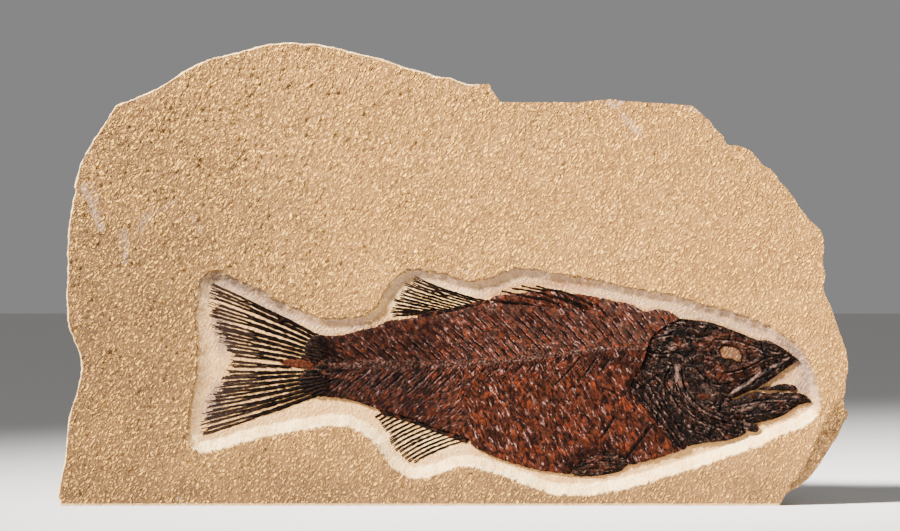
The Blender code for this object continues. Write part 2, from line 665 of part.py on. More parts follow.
def build_front_dorsal(material):
    roots = [(77, 110.6), (70, 110.6), (62, 110.2), (54, 110), (45, 110), (36, 110.6)]
    tips = [(46.5, 119.6), (38, 119.6), (33.6, 118.2), (27.4, 117.2), (24, 114.6), (21.6, 112)]
    band = [(21, 110.6), *[(x, z + 0.6) for x, z in CREST_LINE[1:]], (79.6, 112.8), (72, 114.6),
            (62, 115.8), (50, 116.4), (38, 115.8), (28, 114.8), (22, 113.6)]
    build_fin("front_dorsal_fin", material, band, roots, tips, 7, (0.07, -0.02), 1.2)


def build_anal_fin(material):
    roots = [(7.6, 35.4), (0, 38.2), (-10, 41.6), (-20, 45.4), (-30, 48.6), (-37, 50.6)]
    tips = [(-21.5, 23.2), (-26, 25.4), (-29.5, 30), (-33, 34.4), (-36, 39.6), (-38.6, 43.6),
            (-42, 48)]
    band = [(8.8, 35.4), (7, 34), (-1, 37), (-11, 40.6), (-21, 44.4), (-31, 47.6), (-38, 49.4),
            (-40, 51.6), (-32, 49.5), (-22, 46.7), (-12, 42.7), (0, 38.7)]
    build_fin("anal_fin", material, band, roots, tips, 13, (-0.1, -0.06), 1.0)


def build_pelvic_fin(material):
    edge = [(95, 21.8), (91.5, 18.8), (85, 17), (77, 16), (69, 15.9), (66, 16.6)]
    loop = [*edge, *PELVIC_SEAM[::-1]]
    lower, upper = [(94, 22.4), (86, 18.8), (70, 17.4)], [(92, 25), (84, 27.6), (72, 24.2)]
    rays = [between(lower, upper, share) for share in (0.15, 0.5, 0.85)]

    def height(points):
        return 1.0 + RIDGE * ridges(points, rays, 1.4)

    return bone("pelvic_fin", [loop], height, material, 4, lines=rays)


def main():
    for obj in list(bpy.data.objects):
        bpy.data.objects.remove(obj)
    stone = surface_material("limestone", (0.64, 0.46, 0.29), 0.85)
    scales = surface_material("scales", (0.10, 0.025, 0.012), 0.4)
    dark_bone = surface_material("bone", (0.022, 0.015, 0.012), 0.42)
    fin_bone = surface_material("fin_ray", (0.03, 0.02, 0.016), 0.45)
    build_slab(stone)
    build_flank(scales)
    for build in (build_skull, build_gill_cover, build_cheek_bone, build_upper_jaw,
                  build_lower_jaw, build_tongue_bone, build_shoulder):
        build(dark_bone)
    for build in (build_tail, build_rear_dorsal, build_front_dorsal, build_anal_fin,
                  build_pelvic_fin):
        build(fin_bone)


main()
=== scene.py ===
# %% [markdown]
# # A fossil fish in its slab of limestone
#
# A perch-like fish sank into lake mud about fifty million years ago. The mud became thin beds
# of limestone, and a preparator split the stone, cut a recess down to the fish and sawed the
# slab's base straight, so that it stands on a shelf.
#
# This lesson dresses a plain solid model of that slab. The solids fix every size and place,
# so the first step is to load them and to read the numbers that the rest is built from.

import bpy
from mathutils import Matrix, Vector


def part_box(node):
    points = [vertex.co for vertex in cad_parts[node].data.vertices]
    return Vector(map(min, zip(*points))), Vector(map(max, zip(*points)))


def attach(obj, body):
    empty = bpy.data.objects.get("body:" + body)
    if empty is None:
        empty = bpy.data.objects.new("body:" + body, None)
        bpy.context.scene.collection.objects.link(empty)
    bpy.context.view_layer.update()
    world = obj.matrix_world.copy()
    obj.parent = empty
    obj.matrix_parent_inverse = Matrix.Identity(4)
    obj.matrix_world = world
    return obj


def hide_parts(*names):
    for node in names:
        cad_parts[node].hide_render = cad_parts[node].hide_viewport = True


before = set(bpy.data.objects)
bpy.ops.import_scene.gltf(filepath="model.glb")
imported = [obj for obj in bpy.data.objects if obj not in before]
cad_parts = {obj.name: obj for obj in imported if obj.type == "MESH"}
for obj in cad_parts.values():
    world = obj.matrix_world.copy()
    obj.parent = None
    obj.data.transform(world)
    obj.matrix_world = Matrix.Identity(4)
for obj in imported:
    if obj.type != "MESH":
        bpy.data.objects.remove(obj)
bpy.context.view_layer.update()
print("solids:", ", ".join(sorted(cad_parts)))

# %% Name the sizes, in millimetres
import math

import bpy
import numpy as np
from mathutils import Vector
from mathutils.geometry import delaunay_2d_cdt

MM = 0.001
_, stone_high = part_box("slab")
BACK_Y = stone_high.y / MM
FACE_Y = -BACK_Y  # the bedding face looks along -Y
BED_DEPTH = 4.0
BED_Y = FACE_Y + BED_DEPTH  # the floor of the recess
WALL_RUN = 4.5  # how far the recess wall leans back from the bed to the rim
LOWER_WALL_RUN, TAIL_WALL_RUN = 1.6, 2.6  # what is added below the fish, and behind its tail
BASE_CHAMFER = 1.2
BONE_SINK = 0.25  # how far a bone's foot goes into the bed
VERTEBRA_PITCH = 7.0  # from one joint of the backbone to the next
print(f"the stone is {BACK_Y - FACE_Y:.0f} mm thick and {stone_high.z / MM:.0f} mm high")

# %% [markdown]
# ## The outlines
#
# Every outline is a short list of points on the face, x to the right and z up from the base,
# in millimetres. Few points are enough, because a smooth curve is drawn through them and
# the break's roughness is added by a formula. The same points shape the solids, so the
# dressed pieces land where the solids are.

# %% The broken edge of the slab, from the left end of the base, up and over
LEFT_AND_TOP = [
    (-213.5, 0), (-215.5, 5), (-214, 13), (-212.5, 21), (-210.9, 30), (-210.2, 40),
    (-208.7, 50), (-205.5, 60), (-203.2, 70), (-203, 80), (-205.8, 88), (-208.8, 95),
    (-210.5, 108), (-210.2, 125), (-210, 140), (-209.4, 152), (-207.3, 165), (-205.7, 171),
    (-206, 175), (-203.2, 185), (-198.5, 195), (-192, 205), (-185.5, 215), (-182, 219),
    (-175, 221.3), (-165, 225.7), (-156, 230), (-148, 236), (-140, 240.2), (-130, 244),
    (-120, 246.7), (-110, 249.3), (-100, 251.8), (-87, 252.5), (-73, 251.4), (-62, 249.5),
    (-52, 246.7), (-40, 244.2), (-30, 240.8), (-20, 237.6), (-8, 234.2), (-1, 233.5),
    (7, 230.2), (19.5, 229.7), (21, 227.5),
]
SAWN_STEP = [
    (21.2, 220.2), (35, 220), (52, 220), (68, 220), (76, 220.8), (85, 221.5), (92, 220.8),
    (104, 220), (116, 219.3), (131, 218),
]
RIGHT_BREAK = [
    (134, 214.5), (140.2, 209.8), (142, 206.5), (147, 202), (150, 196.8), (156, 196.3),
    (162, 193.4), (168, 187), (174, 183), (178, 177.5), (185, 169.3), (191, 160),
    (195, 155.2), (200.4, 149.8), (202.5, 142.5), (201.8, 131.5), (203.2, 125),
    (202.2, 119), (204.7, 111.4), (209, 101), (210.5, 95), (213, 89), (215.3, 79),
    (214, 65), (213.5, 55.5), (215.5, 50), (213.4, 44.7), (208.6, 34.8), (202.6, 26.1),
    (197.4, 17.9), (190.4, 11.4), (182.6, 6.6), (178, 0),
]

# %% The rim of the recess, and the line beyond which the lower right corner broke away
RIM = [
    (-138, 29.4), (-142.5, 34), (-144.4, 42), (-143.6, 51), (-141.2, 64), (-139.4, 76),
    (-139.8, 90), (-140.2, 104), (-139.3, 117), (-135.5, 125.6), (-129, 128.4),
    (-122, 126), (-113, 121.8), (-103, 116.8), (-92, 111), (-80, 105.8), (-71, 102.6),
    (-60, 102.2), (-50, 103.2), (-44.5, 106.3), (-40, 112.2), (-34, 121), (-28, 127),
    (-21, 129.2), (-12, 128), (-3, 126), (5, 123.4), (13, 122.9), (21, 124.6), (29, 128.2),
    (37, 129.6), (48, 128.2), (60, 126.2), (75, 123.8), (90, 120.4), (107, 117), (122, 114.8),
    (136, 110), (150, 106.4), (163, 102), (174, 97), (184.4, 90.2), (192, 83.2),
    (196.4, 74), (198.6, 65), (200.6, 57), (198.4, 49), (190.4, 43), (178, 38.6),
    (166.2, 32.6), (152.3, 27.8), (137, 22.3), (120, 17.2), (103, 11.8), (88, 8.2),
    (70, 6), (54, 7), (40, 11.8), (25, 17.4), (10, 22), (0, 20.8), (-9, 17.2), (-18, 15.3),
    (-26, 16.8), (-34, 23), (-42, 34), (-51, 40.8), (-61, 43.7), (-75, 43), (-88, 40.5),
    (-102, 38), (-114, 34.8), (-126, 31),
]
CORNER_LINE = [(214.5, 62), (208, 55.5), (203, 50), (200, 41), (196.5, 35), (193.5, 27),
               (190, 20), (185, 13.5), (181.5, 7), (180.5, 4)]
CORNER_FALL = 0.32

# %% The seams between bones, and the edges of the flank
FLANK_TO_SHOULDER = [(124, 30.2), (119.5, 34), (113, 42), (107, 50), (101, 57), (97, 63)]
FLANK_TO_SKULL = [(99, 70), (103.5, 78), (106, 86), (109, 92.5), (116, 98), (123, 101.6)]
SHOULDER_TO_GILL = [(127.5, 33), (121.5, 44), (115.5, 51.5), (109, 58), (104, 65)]
GILL_TO_SKULL = [(102.5, 73), (108, 80), (115, 81), (120, 77.5)]
GILL_TO_CHEEK = [(121, 68), (124.5, 60), (130, 54), (138, 49), (148, 44.5), (159, 41)]
CHEEK_TO_SKULL = [(124.5, 76.5), (127.3, 69), (129.5, 63), (134, 57.5), (141, 52.5), (147, 49.5)]
SKULL_TO_UPPER_JAW = [(148, 58.5), (153, 63.5), (160, 68.6), (168, 73.6), (176, 77.6),
                      (183.5, 81.8)]
SKULL_TO_LOWER_JAW = [(147, 49.5), (145, 53), (148, 58.5)]
CHEEK_TO_LOWER_JAW = [(147, 49.5), (155, 46.2), (163, 44.8)]
TAIL_SEAM = [(-70, 91.8), (-68.5, 84), (-67.5, 76), (-68.5, 68), (-70, 60)]
BACK_LINE = [(-70, 91.8), (-60, 92.8), (-50, 95.6), (-42, 97.4), (-35, 100.6), (-24, 101.8),
             (-12, 103.4), (0, 105.6), (10, 108.2), (19.5, 110.4)]
CREST_LINE = [(21, 110.2), (34, 109.4), (48, 108.4), (62, 107.4), (76, 106.8)]
NAPE_LINE = [(80, 112.6), (90, 111), (97, 109.8), (104, 106), (112, 106.8), (118, 105.4)]
BELLY_LINE = [(117, 27.4), (106, 24.2), (98, 22.4)]
PELVIC_SEAM = [(95.5, 23), (91, 27.6), (84, 29.4), (76, 27.6), (69.5, 24), (65, 19)]
KEEL_LINE = [(64, 17.2), (55, 18), (45, 19.6), (36, 22), (27, 25), (18, 28.6), (10.5, 33)]
VENT_LINE = [(9, 36), (0, 39.4), (-12, 43.4), (-22, 47.4), (-32, 50.2), (-42, 52.8),
             (-52, 56.4), (-62, 58.6), (-70, 60)]
BACKBONE = [(-71, 76.6), (-40, 76.6), (-15, 76.2), (10, 77.4), (35, 79.4), (60, 82.6),
            (82, 85.2), (104, 86)]

# %% The outline of each bone, put together from those seams
FLANK = [*TAIL_SEAM[1:-1][::-1], *BACK_LINE, *CREST_LINE, *NAPE_LINE, *FLANK_TO_SKULL[::-1],
         *FLANK_TO_SHOULDER[::-1], *BELLY_LINE, *PELVIC_SEAM, *KEEL_LINE, *VENT_LINE]
CROWN = [(130, 101.2), (140, 99.8), (149, 96.8), (158, 93.4), (166, 90.2), (171.6, 90),
         (178.6, 86.4), (184.4, 82.6)]
SKULL = [*FLANK_TO_SKULL[1:], *CROWN, *SKULL_TO_UPPER_JAW[::-1],
         *SKULL_TO_LOWER_JAW[::-1][1:-1], *CHEEK_TO_SKULL[::-1], *GILL_TO_SKULL[::-1]]
GILL_COVER = [*SHOULDER_TO_GILL, *GILL_TO_SKULL, *GILL_TO_CHEEK,
              (158, 38.4), (150, 35.6), (140, 34.4), (131, 33)]
CHEEK = [*GILL_TO_CHEEK, (165.4, 39.9), (166.4, 43), *CHEEK_TO_LOWER_JAW[::-1][:-1],
         *CHEEK_TO_SKULL[::-1], GILL_TO_SKULL[-1]]
BITE = [(188.4, 79.3), (186.2, 77.6), (182, 74.9), (177.9, 71.8), (173.7, 68.7),
        (171, 66.9), (168, 65.1), (165.6, 63.2), (161, 62), (155.5, 59.4), (150.5, 57.8)]
UPPER_JAW = [*SKULL_TO_UPPER_JAW, *BITE]
LOWER_TEETH = [(154, 57.6), (160.5, 60.4), (166, 61.6), (172, 61.1), (178, 61.7), (184, 61.4),
               (188.5, 61.2), (192.3, 59.9), (194.4, 57.9), (195.2, 56)]
CHIN = [(191.6, 55.6), (187.6, 54), (183.2, 51.1), (179.4, 48.8), (174.1, 46.9), (168, 45.5)]
LOWER_JAW = [*SKULL_TO_LOWER_JAW, *LOWER_TEETH, *CHIN, *CHEEK_TO_LOWER_JAW[::-1][:-1]]
TONGUE = [(166.8, 63.2), (170.3, 64.5), (174.1, 64.8), (177.1, 65.9), (181.7, 66.2),
          (186.4, 65.2), (187.4, 63.4), (186.2, 62.2), (181.7, 62.5), (177.1, 62.6), (172, 62.6)]
SHOULDER = [*FLANK_TO_SHOULDER, FLANK_TO_SKULL[0], GILL_TO_SKULL[0], *SHOULDER_TO_GILL[::-1]]
PELVIC = [(95, 21.8), (91.5, 18.8), (85, 17), (77, 16), (69, 15.9), (66, 16.6),
          *PELVIC_SEAM[::-1]]
MEMBRANE_TOP = [(79.6, 112.8), (72, 114.6), (62, 115.8), (50, 116.6), (38, 115.8), (28, 115),
                (22, 113.6)]

# %% [markdown]
# ## Plan geometry
#
# The whole fossil is relief: seen from the front, every point of the face has one height.
# So each piece can be made as a flat sheet of triangles whose points are then pushed up,
# which is how a relief carver works too. These helpers measure distances on that sheet.
# They work on whole arrays of points at once, because the sheets have about half a million
# points and a loop in Python over each of them would take minutes.

# %% Curves, directions and distances
def resampled(points, step, closed=False):
    """Points about step apart on a smooth curve through the given ones."""
    pts = np.array(points, float)
    count = len(pts)
    out = []
    for i in range(count if closed else count - 1):
        p1, p2 = pts[i], pts[(i + 1) % count]
        p0 = pts[i - 1] if closed or i else 2 * p1 - p2
        p3 = pts[(i + 2) % count] if closed or i + 2 < count else 2 * p2 - p1
        parts = max(1, round(math.dist(p1, p2) / step))
        t = (np.arange(parts) / parts)[:, None]
        out.append(0.5 * (2 * p1 + (p2 - p0) * t + (2 * p0 - 5 * p1 + 4 * p2 - p3) * t**2
                          + (3 * p1 - p0 - 3 * p2 + p3) * t**3))
    if not closed:
        out.append(pts[-1:])
    return np.concatenate(out)


def counter_clockwise(loop):
    loop = np.array(loop, float)
    x, z = loop.T
    area = 0.5 * float(np.sum(x * np.roll(z, -1) - np.roll(x, -1) * z))
    return loop if area > 0 else loop[::-1]


def outward(loop):
    """The outward direction at each point of a counter-clockwise loop."""
    along = np.roll(loop, -1, axis=0) - np.roll(loop, 1, axis=0)
    along /= np.maximum(np.linalg.norm(along, axis=1), 1e-9)[:, None]
    return np.stack([along[:, 1], -along[:, 0]], axis=1)


def leftward(line):
    """The direction to the left at each point of an open line."""
    along = np.gradient(line, axis=0)
    along /= np.maximum(np.linalg.norm(along, axis=1), 1e-9)[:, None]
    return np.stack([-along[:, 1], along[:, 0]], axis=1)


def in_batches(function, points, size=6000):
    """Runs a measurement on a few thousand points at a time, to keep the arrays small."""
    parts = [function(points[i:i + size]) for i in range(0, len(points), size)]
    return np.concatenate(parts) if parts else np.zeros(0)


def signed_distance(points, paths):
    """Distance to the nearest of some open lines, above 0 on a line's left side."""
    starts = np.concatenate([np.array(p, float)[:-1] for p in paths])
    run = np.concatenate([np.diff(np.array(p, float), axis=0) for p in paths])
    square = np.maximum((run * run).sum(1), 1e-12)

    def measure(some):
        offset = some[:, None, :] - starts
        share = np.clip((offset * run).sum(2) / square, 0, 1)
        apart = offset - share[:, :, None] * run
        far = (apart * apart).sum(2)
        best = far.argmin(axis=1)
        rows = np.arange(len(some))
        side = run[best, 0] * apart[rows, best, 1] - run[best, 1] * apart[rows, best, 0]
        return np.sqrt(far[rows, best]) * np.where(side < 0, -1.0, 1.0)

    return in_batches(measure, np.atleast_2d(points))


def distance_to(points, paths):
    """Distance to the nearest of some open lines."""
    return np.abs(signed_distance(points, paths))


def inside(points, loop):
    """Which of the points lie inside a closed loop."""
    loop = np.array(loop, float)
    end = np.roll(loop, -1, axis=0)
    rise = np.where(end[:, 1] == loop[:, 1], 1.0, end[:, 1] - loop[:, 1])

    def measure(some):
        x, z = some[:, :1], some[:, 1:]
        at = loop[:, 0] + (z - loop[:, 1]) / rise * (end[:, 0] - loop[:, 0])
        return (((loop[:, 1] > z) != (end[:, 1] > z)) & (x < at)).sum(axis=1) % 2 == 1

    return in_batches(measure, np.atleast_2d(points))


def depth_in(points, loop):
    """How far inside a loop each point is, and below 0 outside it."""
    return distance_to(points, [[*loop, loop[0]]]) * np.where(inside(points, loop), 1.0, -1.0)


def smooth_step(share):
    """From 0 to 1 with a soft start and a soft end."""
    share = np.clip(share, 0, 1)
    return share * share * (3 - 2 * share)


def near_lines(points, paths, half_width):
    """1 on the nearest of the lines, falling to 0 that far away."""
    return 1 - smooth_step(distance_to(points, paths) / half_width)


def marked(points, places):
    """The strongest of some marked places, each a line, its half width and its strength."""
    value = np.zeros(len(points))
    for path, half_width, strength in places:
        value = np.maximum(value, strength * near_lines(points, [path], half_width))
    return value


def along_path(path, share):
    """The point at a share of a path's length."""
    path = np.array(path, float)
    lengths = np.concatenate([[0], np.cumsum(np.linalg.norm(np.diff(path, axis=0), axis=1))])
    return np.array([np.interp(share * lengths[-1], lengths, path[:, i]) for i in (0, 1)])


print("the recess is", round(float(np.ptp(np.array(RIM)[:, 0]))), "mm long")

# %% [markdown]
# ## Unevenness that is the same on every run
#
# Stone and bone are uneven at several scales at once. Blender's texture nodes can do that in
# a material, but the outline and the shadows stay smooth unless the mesh itself is uneven.
# So the roughness that a finger would feel is worked out here, by hashing the number of
# each grid cell: no random state is kept, and the same point always gives the same value.

# %% Ripples, fibres, broken plates and scales
def hashed(column, row, seed):
    """A number from 0 to 1 for each grid cell."""
    mixed = (column * 374761393 + row * 668265263 + seed * 1274126177) & 0xFFFFFFFF
    mixed = ((mixed ^ (mixed >> 13)) * 1103515245) & 0xFFFFFFFF
    return (mixed ^ (mixed >> 16)) / 2.0**32


def ripple(points, size, seed):
    """A smooth uneven value of about -1 to 1, with bumps of that size."""
    grid = points / size
    cell = np.floor(grid).astype(np.int64)
    part = grid - cell
    ease = part**3 * (part * (part * 6 - 15) + 10)
    total = np.zeros(len(points))
    for right in (0, 1):
        for up in (0, 1):
            angle = 2 * math.pi * hashed(cell[:, 0] + right, cell[:, 1] + up, seed)
            slope = np.cos(angle) * (part[:, 0] - right) + np.sin(angle) * (part[:, 1] - up)
            weight = ease[:, 0] if right else 1 - ease[:, 0]
            total += slope * weight * (ease[:, 1] if up else 1 - ease[:, 1])
    return total * 1.5


def along_and_across(points, degrees):
    """How far along a direction each point lies, and how far across it."""
    angle = np.radians(degrees)
    x, z = points.T
    return x * np.cos(angle) + z * np.sin(angle), z * np.cos(angle) - x * np.sin(angle)


def fibres(points, degrees, length, width, seed):
    """Ripples drawn out along a direction, like the grain of bone."""
    along, across = along_and_across(points, degrees)
    return ripple(np.stack([along / length, across / width], axis=1), 1, seed)


def grain_fields(points, degrees):
    """Where each point lies in its own grain, so that a finish can draw strokes along it."""
    return dict(zip(("along", "across"), along_and_across(points, degrees)))


def wander(points, size, seed):
    """A small shift for each point, to bend a pattern that would be too straight."""
    return np.stack([ripple(points, size, seed), ripple(points, size, seed + 1)], axis=1)


def broken_plates(points, size, seed):
    """Crushed bone: each cell is a plate that tilts its own way. Also the distance to a crack."""
    grid = points / size
    cell = np.floor(grid).astype(np.int64)
    first, second = np.full(len(points), 9.0), np.full(len(points), 9.0)
    height = np.zeros(len(points))
    for right in (-1, 0, 1):
        for up in (-1, 0, 1):
            column, row = cell[:, 0] + right, cell[:, 1] + up
            across = grid[:, 0] - column - 0.1 - 0.8 * hashed(column, row, seed)
            upward = grid[:, 1] - row - 0.1 - 0.8 * hashed(column, row, seed + 1)
            far = np.hypot(across, upward)
            angle = 2 * math.pi * hashed(column, row, seed + 2)
            plate = np.cos(angle) * across + np.sin(angle) * upward
            plate += 0.8 * (hashed(column, row, seed + 3) - 0.5)
            closer = far < first
            second = np.where(closer, first, np.minimum(second, far))
            height = np.where(closer, plate, height)
            first = np.minimum(first, far)
    return height, second - first


def scale_rows(points, length, seed):
    """Rows of scales that each lie over the next one towards the tail, 0 to 1 high."""
    squash = 0.66
    across, rows = points[:, 0] / length, points[:, 1] / (length * squash)
    best = np.full(len(points), -1.0)
    for up in (-1, 0, 1):
        row = np.floor(rows).astype(np.int64) + up
        shift = 0.5 * (row % 2)
        for right in (-1, 0, 1):
            column = np.floor(across - shift).astype(np.int64) + right
            ox = across - column - shift - 0.5 - 0.3 * (hashed(column, row, seed) - 0.5)
            oz = (rows - row - 0.5 - 0.4 * (hashed(column, row, seed + 1) - 0.5)) * squash
            reach = (ox / 0.8) ** 2 + (oz / 0.52) ** 2
            lift = 0.3 * (hashed(column, row, seed + 2) - 0.5)
            best = np.maximum(best, np.where(reach < 1, 0.7 - 0.5 * reach - 0.6 * ox + lift, -1))
    return np.clip(best, 0, 1.3)


print("a ripple at one point:", round(float(ripple(np.array([[3.3, 4.4]]), 2, 1)[0]), 4))

# %% [markdown]
# ## Finishes
#
# Each surface is built from layers, as it is on the stone: a body colour, slow changes over
# centimetres, and grain of less than a millimetre. The layers come from noise nodes that are
# measured in millimetres on the object, so a grain keeps its true size. The sheets also carry
# named values from point to point, such as how deep a pit is. A finish uses them to darken the
# pits, to stain the bed beside the bones and to draw its strokes along the grain of each bone.

# %% A small kit for building finishes out of nodes
def colour(red, green, blue):
    """A shader's colour from one that is given as it looks on a screen, 0 to 255."""
    return tuple(((c / 255 + 0.055) / 1.055) ** 2.4 for c in (red, green, blue)) + (1.0,)


class Finish:
    """A surface finish. Its positions are in millimetres on the object."""

    def __init__(self, slot):
        self.slot = slot
        self.material = bpy.data.materials.new("dressed " + slot)
        self.material.use_nodes = True
        tree = self.material.node_tree
        self.nodes, self.links = tree.nodes, tree.links
        self.shader = self.nodes["Principled BSDF"]
        spot = self.node("TexCoord", {}, output="Object")
        self.spot = self.node("VectorMath", {0: spot, "Scale": 1 / MM}, operation="SCALE")

    def node(self, kind, inputs, output=0, **settings):
        made = self.nodes.new("ShaderNode" + kind)
        for name, value in settings.items():
            setattr(made, name, value)
        for socket, value in inputs.items():
            if isinstance(value, bpy.types.NodeSocket):
                self.links.new(value, made.inputs[socket])
            else:
                made.inputs[socket].default_value = value
        return made.outputs[output]

    def drawn_out(self, degrees, length, width):
        """Positions that make a pattern long in one direction on the face."""
        turned = self.node("VectorRotate", {"Vector": self.spot, "Angle": math.radians(degrees)},
                           rotation_type="Y_AXIS")
        return self.node("VectorMath", {0: turned, 1: (1 / length, 1 / width, 1 / width)},
                         operation="MULTIPLY")

    def flow(self, length, width, layer=0.0):
        """Positions that make a pattern long in the direction that the sheet itself carries."""
        return self.node("CombineXYZ", {0: self.times(self.field("along"), 1 / length),
                                        1: self.times(self.field("across"), 1 / width), 2: layer})

    def grain(self, size, detail=2.0, roughness=0.5, swirl=0.0, spot=None):
        """Noise of about 0 to 1, with blobs of that size."""
        return self.node("TexNoise", {"Vector": spot or self.spot, "Scale": 1 / size,
                                      "Detail": detail, "Roughness": roughness,
                                      "Distortion": swirl})

    def field(self, name):
        """A value that the sheet carries from point to point."""
        return self.node("Attribute", {}, output="Fac", attribute_name=name)

    def share(self, value, low, high, least=0.0, most=1.0):
        """Least below low, most above high and a smooth change between."""
        return self.node("MapRange", {0: value, 1: low, 2: high, 3: least, 4: most},
                         interpolation_type="SMOOTHSTEP")

    def work(self, operation, *values):
        """A sum with one value or two."""
        return self.node("Math", dict(enumerate(values)), operation=operation)

    def times(self, first, *others):
        for other in others:
            first = self.work("MULTIPLY", first, other)
        return first

    def mix(self, share, a, b, blend="MIX"):
        return self.node("Mix", {0: share, 6: a, 7: b}, output=2, data_type="RGBA",
                         blend_type=blend)

    def layered(self, base, layers):
        """A colour with layers over it, each its share, its colour and maybe how it blends."""
        for share, tint, *blend in layers:
            base = self.mix(share, base, tint, *blend)
        return base

    def bump(self, height, depth, under=None):
        """Unevenness that many millimetres deep."""
        inputs = {"Height": height, "Distance": depth * MM, "Strength": 1.0}
        if under:
            inputs["Normal"] = under
        return self.node("Bump", inputs)

    def done(self, base, roughness, normal, gloss):
        for socket, value in (("Base Color", base), ("Roughness", roughness), ("Normal", normal)):
            self.links.new(value, self.shader.inputs[socket])
        self.shader.inputs["Specular IOR Level"].default_value = gloss
        self.shader.inputs["Metallic"].default_value = 0.0
        return self


# %% [markdown]
# ### Limestone
#
# The face is a natural bedding plane: warm tan, with wrinkles a millimetre or two wide. Each
# wrinkle gets a painted cream highlight on the side that faces the lamp, and painted shade in
# the hollows between. Cut stone is paler and greyer, because the tool broke fresh grains open;
# that pale colour is painted as light on the walls that face the lamp, and the walls and beds
# that face away from it get painted shade. The left and the bottom of the face are painted
# darker as shade. The bed beside the bones is ochre, where iron crept out of the fish. Seen
# from the side, the broken edge shows the thin beds as stripes.

# %% The limestone finish
BED_LENGTH, BED_THICKNESS = 26, 1.1  # the stripes of the broken edge


def limestone():
    stone = Finish("limestone")
    slow = stone.grain(55, 3, 0.55, 0.6)
    blotch = stone.grain(9, 3, 0.6, 0.4)
    lie = stone.drawn_out(54, 1.95, 1.0)
    wrinkle = stone.grain(1, 2.5, 0.56, 0.7, lie)
    # the crest noise is looked up a little towards the lamp, so that it paints a highlight on each
    # wrinkle's lit side
    lit_side = stone.node("VectorMath", {0: lie, 1: (0.05, 0, -0.3)}, operation="ADD")
    crest = stone.grain(1, 2.5, 0.56, 0.7, lit_side)
    dust = stone.grain(0.5, 2, 0.6)
    rust = stone.grain(1, 3, 0.6, 0.5, stone.drawn_out(62, 34, 7))
    beds = stone.grain(1, 4, 0.6, 0.2, stone.node(
        "VectorMath", {0: stone.spot, 1: (1 / BED_LENGTH, 1 / BED_THICKNESS, 1 / BED_LENGTH)},
        operation="MULTIPLY"))
    saw = stone.grain(1, 3, 0.6, 0, stone.drawn_out(4, 120, 1.3))
    clay, floor, bared_and_lit = (stone.field(name) for name in ("clay", "floor", "bared_and_lit"))
    rough = stone.times(stone.share(stone.work("MAXIMUM", bared_and_lit, floor), 0, 1, 1, 0.3),
                        stone.field("bold"),
                        stone.share(stone.grain(7, 3, 0.6, 0.8), 0.36, 0.62, 0.65, 1.35))

    face = stone.mix(stone.share(slow, 0.36, 0.64), colour(157, 108, 48), colour(167, 117, 55))
    bed = stone.mix(stone.share(blotch, 0.35, 0.65), colour(188, 140, 84), colour(206, 160, 102))
    pale_lit_stone = stone.mix(stone.share(blotch, 0.35, 0.65), colour(244, 196, 128),
                      colour(255, 220, 158))
    broken = stone.mix(stone.share(beds, 0.38, 0.62), colour(138, 98, 60), colour(196, 160, 116))
    planed = stone.mix(stone.share(saw, 0.35, 0.65), colour(164, 130, 92), colour(184, 152, 114))
    base = stone.layered(face, [
        (stone.share(blotch, 0.4, 0.66, 0, 0.5), colour(175, 126, 63)),
        (stone.share(rust, 0.56, 0.74, 0, 0.35), colour(184, 118, 58)),
        # painted shade to the left and the bottom of the face, and the eye stone's own brown
        (clay, colour(114, 79, 42)),
        (floor, bed),
        # painted shade: walls that face away from the lamp, the bed below the upper rim and the
        # shaded beds
        (stone.field("painted_shade"), colour(162, 129, 101)),
        # pale fresh stone, which is also painted light: it goes on the walls that face the lamp
        (bared_and_lit, pale_lit_stone),
        (stone.times(stone.field("stain"), stone.share(blotch, 0.3, 0.62, 0.5, 1)),
         colour(126, 71, 33)),
        (stone.field("scar"), colour(206, 174, 150)),
        (stone.field("edge"), broken),
        (stone.field("planed"), planed),
        # painted shade in the pits, the nicks, under the upper rim and on the shaded beds; the eye
        # stone's own darker tone
        (stone.share(stone.field("pit"), 0, 2), colour(168, 168, 184), "MULTIPLY"),
        # painted shade in the hollows between the wrinkles, then a painted highlight on the
        # side of each crest that faces the lamp, then loose pale grains
        (stone.times(stone.share(wrinkle, 0.34, 0.50, 0.55, 0), rough), colour(176, 182, 232),
         "MULTIPLY"),
        (stone.times(stone.share(crest, 0.55, 0.64, 0, 2), rough, stone.share(clay, 0, 1, 1, 0.5)),
         colour(255, 192, 82)),
        (stone.times(stone.share(dust, 0.56, 0.75, 0, 0.3), rough), colour(244, 190, 100)),
    ])

    normal = stone.bump(stone.times(stone.share(wrinkle, 0.36, 0.70), rough), 2.6)
    normal = stone.bump(dust, 0.1, normal)
    return stone.done(base, stone.share(wrinkle, 0.3, 0.7, 0.9, 0.6), normal, 0.35)
